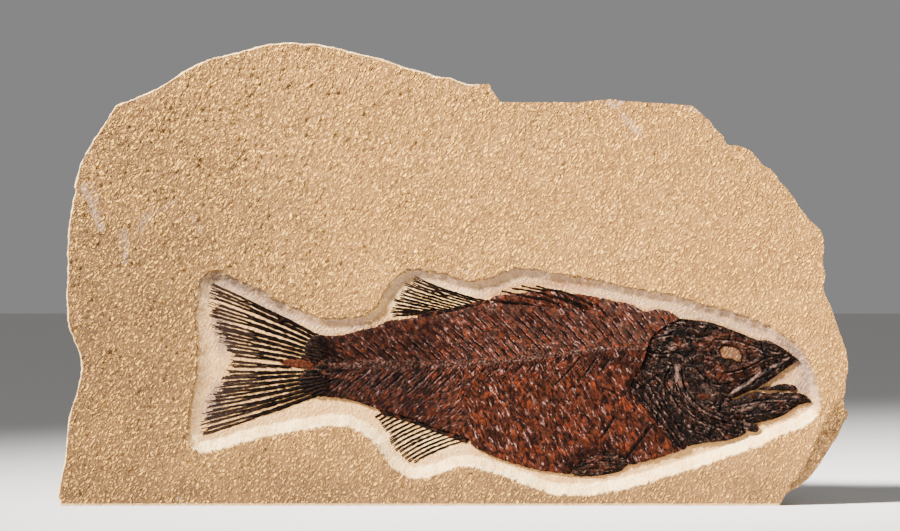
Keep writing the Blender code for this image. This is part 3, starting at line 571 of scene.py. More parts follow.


# %% [markdown]
# ### Scales and bone
#
# Fossil bone is dark because carbon and iron took the place of the soft parts. A preparator
# seals it thinly; its small glints are painted highlights, thin pale strokes in the colour, and
# a pale sheen is painted along its ridges. The scaled flank is a dark red brown with rust and
# black flecks. The head and the fins are nearly black, with rust in the cracks. The flecks and
# the painted glints are drawn out along the grain that each sheet carries. The ribs are thinner
# than the sheet's triangles, so the sheet only carries where a point lies between two ribs, and
# the finish draws each one as a black line with a painted highlight as its pale edge.

# %% The finishes of the fish
def fish_finish(slot, dark, body, warm, rust, grey, glint, gloss):
    """Dark, body and warm are its three colours. Rust says how much of it is warm. Grey is the
    colour of the painted highlights, and glint how bright the thin painted strokes are that stand
    for light caught along the grain."""
    skin = Finish(slot)
    patch = skin.grain(8, 3, 0.6, 0.5)
    hollow = skin.grain(6, 2, 0.5, 1.0)
    fleck = skin.grain(1, 3, 0.55, 1.1, skin.flow(3.2, 1.5))
    fine = skin.grain(1, 2, 0.6)
    stroke = skin.grain(1, 2, 0.5, 0.9, skin.flow(4.4, 1.15, 7.0))
    painted_glints = skin.times(skin.share(stroke, 0.57, 0.68, 0, glint),
                       skin.share(fine, 0.4, 0.6, 0.15, 1),
                       skin.share(skin.grain(5, 2, 0.5, 0.8), 0.38, 0.62, 0.2, 1.3))

    # a rib runs where this is 0, and it goes from -0.5 to 0.5 from rib to rib
    off_rib = skin.work("ADD", skin.field("rib"), skin.share(fleck, 0.3, 0.7, -0.07, 0.07))
    off_rib = skin.work("SUBTRACT", skin.work("FRACT", off_rib), 0.5)
    ribbed = skin.field("ribbed")
    line = skin.times(skin.share(skin.work("ABSOLUTE", off_rib), 0.07, 0.16, 1, 0), ribbed)
    # edge: a painted highlight beside each rib line
    edge = skin.times(skin.share(off_rib, 0.11, 0.17, 0, 1),
                      skin.share(off_rib, 0.19, 0.25, 1, 0))

    base = skin.layered(body, [
        (skin.times(skin.share(fleck, 0.52, 0.64, 0, rust), skin.share(patch, 0.38, 0.62, 0.25, 1)),
         warm),
        (skin.share(fleck, 0.40, 0.50, 0.9, 0), dark),
        (skin.share(hollow, 0.38, 0.5, 0.6, 0), dark),
        (skin.times(skin.field("grey"), skin.share(fine, 0.3, 0.55, 0.35, 1)),
         colour(100, 78, 68)),
        (skin.field("rusty"), colour(78, 37, 21)),
        (painted_glints, grey),
        # painted sheen along ridges, fibres and the tops of plates
        (skin.times(skin.field("ridge"), skin.share(fine, 0.3, 0.6, 0.2, 1)), grey),
        (skin.times(edge, ribbed, skin.share(fine, 0.45, 0.62, 0, 0.75)), grey),
        (skin.field("shade"), dark),
        (skin.work("MAXIMUM", line, skin.field("groove")), colour(9, 5, 4)),
    ])
    return skin.done(base, skin.share(fleck, 0.35, 0.65, 0.42, 0.32), skin.bump(fleck, 0.8),
                     gloss)


LIMESTONE = limestone()
# the fifth colour of each finish is its painted highlight, for the glints and the sheen
SCALES = fish_finish("scales", colour(15, 6, 4), colour(50, 24, 15), colour(97, 40, 19), 0.85,
                     colour(140, 104, 95), 0.85, 0.025)
BONE = fish_finish("bone", colour(6, 3, 2), colour(20, 12, 8), colour(64, 30, 17), 0.6,
                   colour(110, 84, 73), 0.95, 0.035)
FIN_RAY = fish_finish("fin_ray", colour(4, 2, 2), colour(10, 6, 4), colour(50, 26, 14), 0.45,
                      colour(62, 43, 32), 0.35, 0.018)
print("finishes:", ", ".join(finish.slot for finish in (LIMESTONE, SCALES, BONE, FIN_RAY)))

# %% [markdown]
# ## Sheets and plates
#
# A sheet is filled with points that are evenly spread and then nudged, so that no straight
# rows catch the light. A Delaunay triangulation joins them, which keeps the triangles well
# shaped up to a ragged edge. A regular grid would be simpler, but it would leave steps
# along every outline.

# %% Points, sheets and pieces
ROW_GAP = 0.87  # between rows of evenly spread points, in spacings
NUDGE = 0.36  # how far a point is pushed about, in spacings


def spread(box, spacing, seed):
    """Points about spacing apart over a box (x low, z low, x high, z high)."""
    x_low, z_low, x_high, z_high = box
    columns = np.arange(int((x_high - x_low) / spacing) + 1)
    rows = np.arange(int((z_high - z_low) / (spacing * ROW_GAP)) + 1)
    column, row = (a.ravel() for a in np.meshgrid(columns, rows))
    x = x_low + spacing * (column + 0.5 * (row % 2) + NUDGE * (hashed(column, row, seed) - 0.5))
    z = z_low + spacing * ROW_GAP * (row + NUDGE * (hashed(column, row, seed + 1) - 0.5))
    return np.stack([x, z], axis=1)


def sheet(loops, free):
    """Plan points and triangles inside the first loop, outside the others."""
    plan = np.concatenate([*loops, free])
    edges, first = [], 0
    for loop in loops:
        count = len(loop)
        edges += [(first + i, first + (i + 1) % count) for i in range(count)]
        first += count
    made = delaunay_2d_cdt([Vector(p) for p in plan], edges, [], 1, 1e-6, False)
    if len(made[0]) != len(plan):
        print("  note: an outline crosses itself,", len(made[0]) - len(plan), "points differ")
    plan = np.array([tuple(v) for v in made[0]])
    triangles = np.array(made[2])
    a, b, c = (plan[triangles[:, i]] for i in range(3))
    turn = (b[:, 0] - a[:, 0]) * (c[:, 1] - a[:, 1]) - (b[:, 1] - a[:, 1]) * (c[:, 0] - a[:, 0])
    triangles[turn < 0] = triangles[turn < 0][:, ::-1]
    between_loops = (triangles < first).all(axis=1)
    centres = plan[triangles[between_loops]].mean(axis=1)
    gone = ~inside(centres, loops[0])
    for hole in loops[1:]:
        gone |= inside(centres, hole)
    kept = np.ones(len(triangles), bool)
    kept[np.flatnonzero(between_loops)[gone]] = False
    return plan, triangles[kept]


def add_piece(name, vertices, faces, finish, node, fields, smooth=None):
    """A piece of the fossil, with its values from point to point. Only the first faces are smooth,
    or all of them."""
    mesh = bpy.data.meshes.new(name)
    mesh.from_pydata((np.asarray(vertices) * MM).tolist(), [], faces)
    mesh.polygons.foreach_set("use_smooth", np.arange(len(faces)) < (smooth or len(faces)))
    for field, values in fields.items():
        filled = np.zeros(len(vertices), np.float32)
        filled[:len(values)] = values
        mesh.attributes.new(field, "FLOAT", "POINT").data.foreach_set("value", filled)
    mesh.materials.append(finish.material)
    piece = bpy.data.objects.new(name, mesh)
    bpy.context.scene.collection.objects.link(piece)
    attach(piece, "root")
    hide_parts(node)
    print(f"{name}: {sum(len(face) - 2 for face in faces)} triangles")


def ragged(loop, step, amount, seed):
    """A loop's outline, redrawn at that step and worn uneven by that amount."""
    loop = counter_clockwise(resampled(loop, step, closed=True))
    uneven = ripple(loop, 5 * step, seed) + 0.6 * ripple(loop, 2 * step, seed + 1)
    return loop + outward(loop) * (amount * uneven)[:, None]


def in_space(plan, y):
    """Points of the face, that far back."""
    return np.stack([plan[:, 0], np.broadcast_to(y, len(plan)), plan[:, 1]], axis=1)


def plate(name, outline, spacing, height, finish, node, holes=()):
    """A relief over an outline, whose sides go down into the bed."""
    loops = [outline, *holes]
    free = spread((*outline.min(axis=0), *outline.max(axis=0)), spacing, 3)
    free = free[depth_in(free, outline) > spacing * 0.5]
    for hole in holes:
        free = free[depth_in(free, hole) < -spacing * 0.5]
    plan, triangles = sheet(loops, free)
    rise, fields = height(plan)
    feet = in_space(np.concatenate(loops), BED_Y + BONE_SINK)
    faces = triangles.tolist()
    first, below = 0, len(plan)
    for loop in loops:
        count = len(loop)
        for i in range(count):
            a, b = first + i, first + (i + 1) % count
            side = [a, below + a, below + b, b]
            faces.append(side if first == 0 else side[::-1])
        first += count
    faces.append([below + i for i in range(len(outline))][::-1])
    add_piece(name, np.concatenate([in_space(plan, BED_Y - rise), feet]), faces, finish, node,
              fields, len(triangles))


# %% [markdown]
# ## The slab
#
# The slab is dressed in three pieces that meet point for point: the bedding face, the recess
# and the broken edge with the back. The recess was cut with an air chisel, which leaves a
# crumbly rim and a sloping wall. Its rim line is worn ragged first, and both the face and the
# recess are then triangulated up to that same line, so that no gap opens between them.

# %% Where the recess wall stands
RIM_STEP = 0.8
RIM_LINE = ragged(RIM, RIM_STEP, 0.7, 41)
facing = outward(counter_clockwise(resampled(RIM, RIM_STEP, closed=True)))
RIM_DOWN = smooth_step(-1.6 * facing[:, 1] - 0.2)  # 1 where the wall faces up at the lamp
RIM_LEFT = smooth_step(-1.6 * facing[:, 0] - 0.5)  # 1 where the wall faces right
RIM_RUN = WALL_RUN + LOWER_WALL_RUN * np.clip(-facing[:, 1], 0, 1)
RIM_RUN += TAIL_WALL_RUN * np.clip(-facing[:, 0], 0, 1) * (RIM_LINE[:, 0] < -118)


def from_rim(points):
    """How far inside the rim each point is, below 0 outside, and the number of the nearest
    point of the rim."""
    near = in_batches(
        lambda some: ((RIM_LINE**2).sum(1) - 2 * some @ RIM_LINE.T).argmin(axis=1), points, 4000)
    far = np.full(len(points), 1e9)
    for step in (-1, 0):
        start = RIM_LINE[(near + step) % len(RIM_LINE)]
        run = RIM_LINE[(near + step + 1) % len(RIM_LINE)] - start
        along = np.clip(((points - start) * run).sum(1) / (run * run).sum(1), 0, 1)
        apart = points - start - along[:, None] * run
        side = np.where(run[:, 0] * apart[:, 1] - run[:, 1] * apart[:, 0] < 0, -1.0, 1.0)
        length = np.linalg.norm(apart, axis=1)
        far = np.where(length < np.abs(far), side * length, far)
    return far, near


# %% [markdown]
# The stone has marks of its own: scars where chips flew off and stains beside the fish. Beds
# beside some walls and in the mouth get painted shade. Each mark is a line with a half width
# and a strength. The bed is clean and bright where the fins were freed from it.

# %% Marks on the stone
SCARS = [
    ([(-201, 174), (-197, 165), (-191, 151)], 3.12, 0.85),
    ([(-197, 176), (-193, 166)], 1.82, 0.6),
    ([(-179, 149), (-178, 141), (-178.5, 133)], 3.38, 0.6),
    ([(-170, 151), (-166, 158)], 3.38, 0.4),
    ([(-141, 157), (-137, 149)], 2.34, 0.45),
    ([(-160, 160), (-150, 166)], 2.6, 0.35),
    ([(93, 212), (97, 207), (102, 203)], 3.12, 0.8),
    ([(84.5, 220.5), (88, 217), (92, 220)], 2.34, 1.0),
    ([(126, 217.5), (134, 214)], 2.08, 0.6),
    ([(-149, 4.4), (-146.4, 0.6)], 1.04, 0.8),
    ([(7, 127.4), (9.4, 126.6)], 1.56, 0.8),
    ([(-33, 103), (-31.5, 104.5)], 0.91, 0.5),
]
STAINS = [
    ([(-92, 77.5), (-83, 76.8), (-75, 76.6)], 4.0, 1.0),
    ([(-98, 90), (-88, 85)], 2.6, 0.6),
    ([(-105, 52), (-101.5, 51.5)], 1.6, 0.9),
    ([(160, 62.5), (172, 67), (184, 73)], 6.5, 0.55),
    ([(22, 114.5), (36, 118.5), (52, 121), (75, 119)], 4.5, 0.75),
]
SHADED_BEDS = [
    ([(180, 88), (187, 83), (192, 76), (193, 68), (190, 64)], 10, 1.2),
    ([(-132, 124), (-120, 122), (-108, 117), (-94, 108)], 10, 1.15),
    ([(-127, 100), (-124, 88)], 10, 1.2),
    ([(-131, 50), (-127, 62)], 10, 1.2),
    ([(124, 106), (146, 103), (166, 96)], 10, 0.7),
    ([(164, 63.4), (176, 68), (184, 73)], 10, 0.55),
]
FIN_BEDS = [[(6, 113), (-8, 112.6), (-26, 112)], [(-4, 35), (-18, 34), (-32, 37)]]
FISH_EDGES = [FLANK, CROWN, [*SHOULDER, SHOULDER[0]], UPPER_JAW, [*LOWER_JAW, LOWER_JAW[0]],
              [*GILL_COVER, GILL_COVER[0]], PELVIC, TAIL_SEAM]
print(len(SCARS), "scars and", len(STAINS), "stains")

# %% [markdown]
# The face's unevenness, the wall, the chipped corner and the old scars are all one height
# function. It also notes what a finish needs: where the stone is cut, stained, scarred or
# pitted, and where light and shade are painted into its colour.

# %% The relief of the stone
def stone_relief(points):
    """How far the front lies behind the bedding face, and what the finish needs to know."""
    x, z = points.T
    signed, near = from_rim(points)
    run, down, left = RIM_RUN[near], RIM_DOWN[near], RIM_LEFT[near]

    # the share of the way from the rim down to the bed
    crumbs = 0.5 * ripple(points, 3.6, 43) + 0.3 * ripple(points, 1.5, 44)
    share = np.clip((signed + 0.7 * crumbs * (signed > 0.3)) / run, 0, 1) * (signed > 0)
    share = 1 - (1 - share) ** (1.2 - 0.15 * down)
    below = np.clip(share * 3, 0, 1)
    on_wall = np.clip(4 * share * (1 - share), 0, 1)
    on_bed = np.clip((share - 0.9) / 0.1, 0, 1)
    on_face = 1 - np.clip(signed / 0.8, 0, 1)

    # the natural face, boldest at the left, with sharp crests and shallow pits
    bold = np.interp(x, (-210, -120, 40, 200), (1.75, 1.6, 1.2, 0.8))
    bold *= np.interp(z, (20, 200), (0.92, 1.1))
    wrinkle = 0.5 * ripple(points, 2.0, 51) + 0.5 * fibres(points, 52, 3.1, 1.6, 52)
    wrinkle += 0.25 * ripple(points, 6.5, 53)
    wrinkle = np.where(wrinkle < 0, 0.5, 1.15) * wrinkle
    depth = share * BED_DEPTH + on_face * (0.25 * ripple(points, 60, 55) - 0.85 * bold * wrinkle)

    # the crumbly wall, its nicks near the rim, and the marks of the tool on the bed
    depth -= on_wall * (0.42 * crumbs + 0.2 * ripple(points, 1.3, 56))
    nick = np.clip(4 * ripple(points, 2.6, 63) - 1.1, 0, 1) * np.clip(share * 6, 0, 1)
    nick = nick * (1 - share)
    depth += 0.5 * nick * (1 - down)
    tooled = 0.14 * fibres(points, -20, 3.4, 1.3, 57) + 0.08 * ripple(points, 0.9, 58)
    depth -= on_bed * tooled

    # the corner that broke away, and the scars
    corner = np.clip(signed_distance(points, [CORNER_LINE]), 0, None) * (x > 176) * (z < 64)
    depth += CORNER_FALL * corner + np.clip(corner, 0, 1) * 0.5 * ripple(points, 4.5, 59)
    patchy = 0.495 + 0.315 * fibres(points, 100, 8, 1.6, 60)
    scar = np.clip(patchy * marked(points, SCARS), 0, 1)
    depth += 0.3 * scar

    # iron stains; pale cut stone, also painted light where walls face the lamp; painted shade
    # where walls and beds face away from it; and painted shade to the left and the bottom
    stain = 0.6 * on_bed * near_lines(points, FISH_EDGES, 1.9)
    stain = np.maximum(stain, marked(points, STAINS))
    torn = signed + 0.45 + 0.8 * ripple(points, 2.2, 61)
    # pale crumbs outside the rim, only where it faces the lamp: real crumbs with painted light
    lit_crumbs = smooth_step(torn / 0.4) * (np.abs(signed) < 1.5) * down
    wall = below * (1 - smooth_step((share - 0.88) / 0.1))
    # painted light: only the walls that face up at the lamp get the pale cut colour
    bared_and_lit = np.maximum(wall * np.maximum(down, 0.25 * left), lit_crumbs)
    bared_and_lit = bared_and_lit + 0.5 * on_bed * near_lines(points, FIN_BEDS, 11)
    # painted shade on the beds beside the walls and in the mouth
    bed_shade = below * marked(points, SHADED_BEDS)
    # painted shade on the walls that face away from the lamp and on the bed in the upper rim's
    # shadow
    painted_shade = np.maximum(wall, 0.9 * below * (1 - smooth_step((signed - run) / 9)))
    painted_shade *= (1 - down) * (1 - 0.8 * left * (z < 112)) * (0.9 + 0.5 * ripple(points, 4, 64))
    # painted shade: darker towards the left, towards the bottom and on the broken corner
    clay = 0.8 * np.clip((-45 - x) / 110, 0, 1) * np.interp(z, (140, 230), (1, 0.5))
    foot = 0.9 * np.interp(z, (8, 62), (1, 0)) * np.interp(x, (60, 190), (1, 0.8))
    clay = np.maximum(clay, foot) + 0.5 * np.clip(corner, 0, 1)

    # painted shade: between the wrinkles, in the nicks, in a line under the upper rim and on the
    # shaded beds
    # lip: a painted shadow line just under the upper rim
    lip = np.exp(-(((share - 0.14) / 0.12) ** 2)) * (1 - down) * (1 - left)
    pit = np.clip(-wrinkle * 1.4, 0, 1) * on_face + nick * (1 - 0.7 * down)
    pit = pit + 2.1 * np.clip(lip * (0.75 + 0.9 * ripple(points, 3, 65)), 0, 1)
    pit = pit + 1.15 * bed_shade * (1 + 0.7 * ripple(points, 2.4, 66))
    return depth, {
        "bared_and_lit": np.clip(bared_and_lit, 0, 1), "painted_shade": np.clip(np.maximum(painted_shade, 0.9 * bed_shade), 0, 1),
        "bold": 0.55 * bold, "floor": below, "stain": stain, "scar": scar, "pit": pit,
        "clay": np.clip(clay * (1 + 0.25 * ripple(points, 30, 62)), 0, 1)}


# %% [markdown]
# The edge was broken by hand on the left, top and right. The top right was sawn, and so was
# the base. Only the broken parts are worn ragged, and the base stays straight, because the
# slab stands on it.

# %% The outline of the slab
EDGE_STEP = 1.25


def broken_edge(points, amount, seed):
    """A smooth line through the points, then worn uneven."""
    line = resampled(points, EDGE_STEP)
    uneven = 0.8 * ripple(line, 7, seed) + 0.5 * ripple(line, 2.4, seed + 1)
    uneven *= np.clip(np.minimum(line[:, 1], 2) / 2, 0, 1)
    return line + leftward(line) * (amount * uneven)[:, None]


over = [broken_edge(LEFT_AND_TOP, 0.5, 71), broken_edge(SAWN_STEP, 0.12, 73),
        broken_edge(RIGHT_BREAK, 0.5, 75)]
base_x = np.linspace(RIGHT_BREAK[-1][0], LEFT_AND_TOP[0][0], 300)[1:-1]
OUTLINE = np.concatenate([*over, np.stack([base_x, np.zeros(len(base_x))], axis=1)])
OUTLINE = counter_clockwise(OUTLINE)
ON_BASE = OUTLINE[:, 1] < 0.01
OUT = outward(OUTLINE)
OUT[ON_BASE] = (0, -1)
inset = np.where(OUTLINE[:, 0] < 15, 1.3, 0.5) * (1 + 0.35 * ripple(OUTLINE, 6, 77))
inset[ON_BASE] = BASE_CHAMFER
FACE_LOOP = OUTLINE - OUT * inset[:, None]
print("the slab's outline has", len(OUTLINE), "points")

# %% [markdown]
# The face gets points every millimetre, fine enough for its wrinkles. The recess gets finer
# points, but none deep under the fish, where nobody can see the bed. Behind the face's edge
# come rings, which stand out or fall back bed by bed, and the back closes the last ring.

# %% Make the face, the recess, the edge and the back
FACE_SPACING, RECESS_SPACING = 0.98, 0.78


def stone_sheet(name, loops, free):
    """A piece of the stone's front, triangulated up to its loops."""
    plan, triangles = sheet(loops, free)
    depth, fields = stone_relief(plan)
    add_piece(name, in_space(plan, FACE_Y + depth), triangles.tolist(), LIMESTONE, "slab", fields)


def bedding_face():
    free = spread((-218, 0, 218, 255), FACE_SPACING, 5)
    free = free[depth_in(free, FACE_LOOP[::2]) > 0.8]
    signed, _ = from_rim(free)
    stone_sheet("bedding_face", [FACE_LOOP, RIM_LINE], free[signed < -0.55])


def chiselled_recess():
    free = spread((-146, 4, 203, 131), RECESS_SPACING, 7)
    signed, _ = from_rim(free)
    free = free[signed > 0.42]
    for loop in (FLANK, SKULL, GILL_COVER, SHOULDER, LOWER_JAW, PELVIC):
        free = free[depth_in(free, counter_clockwise(loop)) < 1.4]
    stone_sheet("chiselled_recess", [RIM_LINE], free)


def broken_edge_and_back():
    """Rings from the face's edge to the back. Each thin bed stands out by its own amount."""
    depth, _ = stone_relief(FACE_LOOP)
    front_y = FACE_Y + depth
    shares = np.array([0, 0.03, 0.07, *np.linspace(0.12, 0.97, 16), 1.0])
    along = np.arange(len(OUTLINE)) * EDGE_STEP
    rings = []
    for number, share in enumerate(shares):
        draw = np.interp(share, (0.05, 0.34, 0.4, 0.63, 0.69, 0.9, 1),
                         (0.3, 0.1, 0.7, 0.15, 0.8, 0.5, 1.1))
        spot = np.stack([along, np.full(len(along), 40 * share)], axis=1)
        draw = draw + 0.7 * np.abs(ripple(spot, 4.5, 81)) + 0.5 * hashed(number, 0, 83)
        draw[ON_BASE] = 0
        ring = OUTLINE - OUT * draw[:, None] if number else FACE_LOOP
        rings.append(in_space(ring, (1 - share) * front_y + share * BACK_Y))
    rings.append(rings[-1])  # the back has points of its own, so that its rim stays crisp
    count, faces = len(OUTLINE), []
    for number in range(len(shares) - 1):
        for i in range(count):
            a, b = number * count + i, number * count + (i + 1) % count
            faces.append([a, a + count, b + count, b])
    faces.append([len(shares) * count + i for i in range(count)][::-1])
    # the front rings of the edge are pale all round: fresh breaks, with a painted highlight along
    # the rim
    fields = {"edge": [*np.clip(shares * 9, 0, 1), 0], "bold": [0.8] * len(rings),
              "bared_and_lit": [1] * 3 + [0] * (len(rings) - 3), "planed": [0] * len(shares) + [1]}
    fields = {name: np.repeat(values, count) for name, values in fields.items()}
    add_piece("broken_edge", np.concatenate(rings), faces, LIMESTONE, "slab", fields)


bedding_face()
chiselled_recess()
broken_edge_and_back()

# %% [markdown]
# ## The bones of the head
#
# The head was crushed flat in the mud, so each bone is a mosaic of small plates that tilt
# their own way, with fine fibres along the bone. One recipe makes them all: an edge height, a
# crown, the ridges that still stand up and the direction of the fibres. The thickest lines of
# the real head, such as the edge of the upper jaw, are given as ridges. Long cracks with a
# pale lip are its streaks, and grey and brown places have their own lines.

# %% The recipe for a crushed bone
FREE_EDGES = [BACK_LINE, [(21, 112), *MEMBRANE_TOP[::-1]], NAPE_LINE, BELLY_LINE, PELVIC[:6],
              KEEL_LINE, VENT_LINE]


def body_height(points):
    """The rounded body, low at its free edges and high in the middle."""
    edge = np.minimum(distance_to(points, FREE_EDGES) / 16, 1)
    return 0.9 + 1.7 * np.sqrt(edge * (2 - edge))


def crushed_bone(name, node, outline, edge, crown, reach, grain, seed, spacing=0.45, plates=3.6,
                 holes=(), base=None, ridges=(), ridge_width=1.8, streaks=(), grey=(), brown=(),
                 rusty=0.0):
    """Edge is the height at the outline, and crown what is added as far inside as reach. Base
    gives another height instead. Grain is the fibres' direction and plates is a plate's size."""
    outline = ragged(outline, 0.55, 0.16, seed)
    streaks = [resampled(path, 2) for path in streaks]
    streaks = [path + 0.35 * ripple(path, 3, seed + 9)[:, None] for path in streaks]

    def height(points):
        wobble = wander(points, 2.5, seed)
        tilt, crack = broken_plates(points + 0.7 * wobble, plates, seed + 2)
        chip, seam = broken_plates(points + 0.3 * wobble, plates * 0.4, seed + 3)
        fibre = fibres(points + 1.5 * wobble, grain, 6, 1.1, seed + 4)
        within = depth_in(points, outline)
        rise = base(points) if base else edge + crown * smooth_step(within / reach)
        rise += 0.5 * tilt + 0.22 * chip + 0.36 * fibre + 0.3 * ripple(points, 6, seed + 5)
        cracks = np.clip(1 - crack / 0.16, 0, 1)
        rise -= 0.35 * cracks + 0.1 * np.clip(1 - seam / 0.2, 0, 1)
        stand = near_lines(points, ridges, ridge_width) if ridges else np.zeros(len(points))
        rise += 0.6 * stand * (0.75 + 0.25 * ripple(points, 2, seed + 6))
        lip = black = np.zeros(len(points))
        if streaks:
            aside = signed_distance(points, streaks) + 0.1 * ripple(points, 1.5, seed + 10)
            fade = np.clip(0.9 + 1.2 * ripple(points, 5, seed + 11), 0, 1)
            # the pale lip beside each crack is a painted sheen
            lip = np.clip(1.6 - np.abs(aside + 0.45) / 0.35, 0, 1) * fade
            black = np.clip(1.7 - np.abs(aside - 0.4) / 0.42, 0, 1)
            rise += 0.35 * lip - 0.4 * black
        stained = np.clip(1.5 * ripple(points, 7, seed + 12) - 0.65, 0, 0.4)
        patchy = np.clip(0.7 + 1.2 * ripple(points, 3, seed + 13), 0, 1)
        stained = np.maximum(stained, patchy * marked(points, brown))
        strands = fibres(points, grain, 7, 1.1, seed + 7) > 0.05
        fields = {
            "groove": np.clip(np.maximum(cracks - 2.5 * (fibre + 0.3), black), 0, 1),
            "shade": np.clip(1.6 * ripple(points, 6, seed + 8) - 0.1, 0, 0.75),
            # painted sheen: the fibres' tops, the ridges and the pale lips of the streaks
            "ridge": np.clip(0.25 * stand + 1.6 * (fibre - 0.42) + 0.8 * lip, 0, 1),
            "grey": np.clip(marked(points, grey) * (0.75 + 0.5 * fibre), 0, 1),
            "rusty": np.maximum(stained, rusty * strands * np.clip(within - 1.2, 0, 1)),
            **grain_fields(points + 1.2 * wobble, grain)}
        return np.maximum(rise, 0.4), fields

    plate(name, outline, spacing, height, BONE, node, holes)

# %% [markdown]
# The eye holds no bone, only stone: the preparator left a little of the limestone standing in
# the socket. It is a plate of its own, just smaller than the hole in the skull.

# %% Make the skull and the stone in its eye
EYE_PATCH = [(145.2, 85.4), (146.7, 86.9), (149.8, 87.3), (152.8, 86.9), (155.8, 85.4),
             (157.5, 83.1), (158, 80.1), (157.2, 77.4), (154.3, 78.2), (151.3, 79.3),
             (148.6, 79.3), (146.7, 80.1), (145.6, 82), (144.4, 83.9)]
SOCKET = ragged(EYE_PATCH, 0.5, 0.1, 91)
EYE_STONE = SOCKET - outward(SOCKET) * 0.3
BROW = [(143.4, 84.6), (145.6, 87.6), (150, 88.9), (155.4, 88), (159, 84.6), (159.8, 79.6),
        (158, 76.2)]

crushed_bone("skull_bones", "skull", SKULL, 1.7, 1.1, 8, -18, 101, 0.42, holes=[SOCKET],
             ridges=[[(112, 92), (121, 96), (132, 95.6), (144, 93), (156, 89), (168, 85.4),
                      (179, 82.6)],
                     [(112, 84.5), (122, 87), (132, 87), (141, 85)],
                     [(134, 70), (144, 73), (156, 74.6), (166, 79)],
                     [(128, 80), (136, 68), (143, 58)], BROW,
                     [(164, 82), (171, 82.6), (178, 83.2)],
                     [(120, 100), (131, 99.6), (143, 97)]],
             streaks=[[(108, 95), (116, 98.5), (125, 100), (136, 97.8)],
                      [(104, 84), (113.8, 82), (123.6, 82.4), (132, 75.4)],
                      [(110, 91), (122, 93), (134, 91), (141, 93.4)],
                      [(143.6, 90), (154, 89.6), (165, 86), (177, 83.4)],
                      [(130, 80), (135, 72), (143, 66), (152, 66.4)],
                      [(150, 72), (160, 74.6), (171, 80), (181, 82.2)]],
             grey=[([(137, 64), (142, 59)], 3.5, 0.22), ([(160, 77), (168, 80)], 3, 0.3)],
             brown=[([(136, 88), (148, 91), (160, 86)], 7, 0.45),
                    ([(140, 74), (152, 70), (162, 76)], 8, 0.45)])


def eye_height(points):
    rise = 1.9 + 0.22 * ripple(points, 3, 103) + 0.14 * ripple(points, 1.1, 104)
    rise += 0.06 * (points[:, 1] - points[:, 0] + 69)
    rise -= 0.8 * np.exp(-np.clip(depth_in(points, EYE_STONE), 0, None) / 0.5)
    return rise, {"pit": 1.2 + np.clip(-ripple(points, 1.4, 105), 0, 0.7),
                  "clay": np.ones(len(points)), "bold": np.full(len(points), 0.2),
                  "stain": np.clip(0.75 + 0.9 * fibres(points, 20, 4, 0.9, 106), 0, 1)}


plate("eye_stone", EYE_STONE, 0.4, eye_height, LIMESTONE, "slab")

# %% Make the gill cover, the cheek, the jaws and the tongue
crushed_bone("gill_plates", "gill_cover", GILL_COVER, 2.0, 0.8, 6, -50, 111, ridge_width=1.2,
             ridges=[[(119, 75), (111, 72), (106, 68)],
                     [(119, 73), (114, 65), (111, 60)],
                     [(120, 70), (119.5, 59), (118, 52)],
                     [(121, 62), (127, 52.5), (137, 45), (150, 39)],
                     [(124, 46), (131, 41), (141, 37)],
                     [(128, 48.5), (136, 42.5), (147, 38)]],
             streaks=[[(118, 62), (125, 51.6), (137, 45), (150, 40.4)],
                      [(107, 66), (112, 56), (120, 45), (129, 36)],
                      [(112, 62), (118, 51), (127, 42), (139, 36.6)],
                      [(130, 50.4), (139, 44.6), (154, 38.8)],
                      [(106, 73), (112, 70), (117, 62)],
                      [(119, 77), (115, 68), (116, 57)]])
crushed_bone("cheek", "cheek_bone", CHEEK, 2.0, 0.8, 3.4, -58, 121, plates=4.5,
             ridges=[[(122.8, 74), (125.9, 64.5), (132, 55.8), (142.5, 49), (154, 44.4)]],
             streaks=[[(124.4, 74), (125.6, 65.6), (131, 57), (139, 50.8), (152, 45.6)],
                      [(122, 66), (127, 57), (135, 50), (146, 45.6), (160, 42.4)]],
             grey=[([(122.2, 75), (122, 69), (123.8, 63), (126.4, 57.6), (131, 52.8)], 2.4, 0.85),
                   ([(128, 72), (132, 62), (144, 52)], 12, 0.2),
                   ([(154.3, 46.5), (162, 44.2)], 1.6, 0.4)])
crushed_bone("upper_jaw_bone", "upper_jaw", UPPER_JAW, 1.5, 1.1, 2.4, 33, 131, 0.4, plates=2.6,
             ridges=[[(152, 60.6), (160, 66), (168, 71.2), (175, 75.2), (183, 79.6)]],
             grey=[([(152, 61.6), (155.1, 63.4), (159.6, 65.6), (164.2, 69), (167.2, 72.8)],
                    1.1, 0.9)])
crushed_bone("lower_jaw_bone", "lower_jaw", LOWER_JAW, 1.4, 1.4, 4, 12, 141, 0.42, plates=4,
             ridges=[[(150, 51.6), (160, 53.4), (170, 55.6), (180, 57.6), (190, 58.4)],
                     [(154, 56.6), (165, 60), (178, 60), (188, 59.6)]],
             grey=[([(154.3, 51.2), (162, 53), (169.5, 55)], 1.2, 0.8),
                   ([(179.4, 57.3), (187, 58.8)], 1.4, 0.6)],
             streaks=[[(149, 53), (160, 55.4), (172, 57.4), (186, 57.6)],
                      [(155, 49.6), (166, 49.8), (178, 52.4)]])
crushed_bone("tongue", "tongue_bone", TONGUE, 0.8, 0.5, 1.2, 10, 151, 0.4, plates=2)
crushed_bone("shoulder_girdle", "shoulder_bone", SHOULDER, 1.9, 0.6, 2.4, -56, 161, plates=3,
             base=body_height, ridge_width=1.0,
             streaks=[[(99, 64), (106, 55), (114, 44), (123, 32)],
                      [(100.6, 66.5), (108, 57.6), (116, 46), (125, 33)],
                      [(102.2, 67.7), (109.4, 59.4), (113.6, 53.1)]])

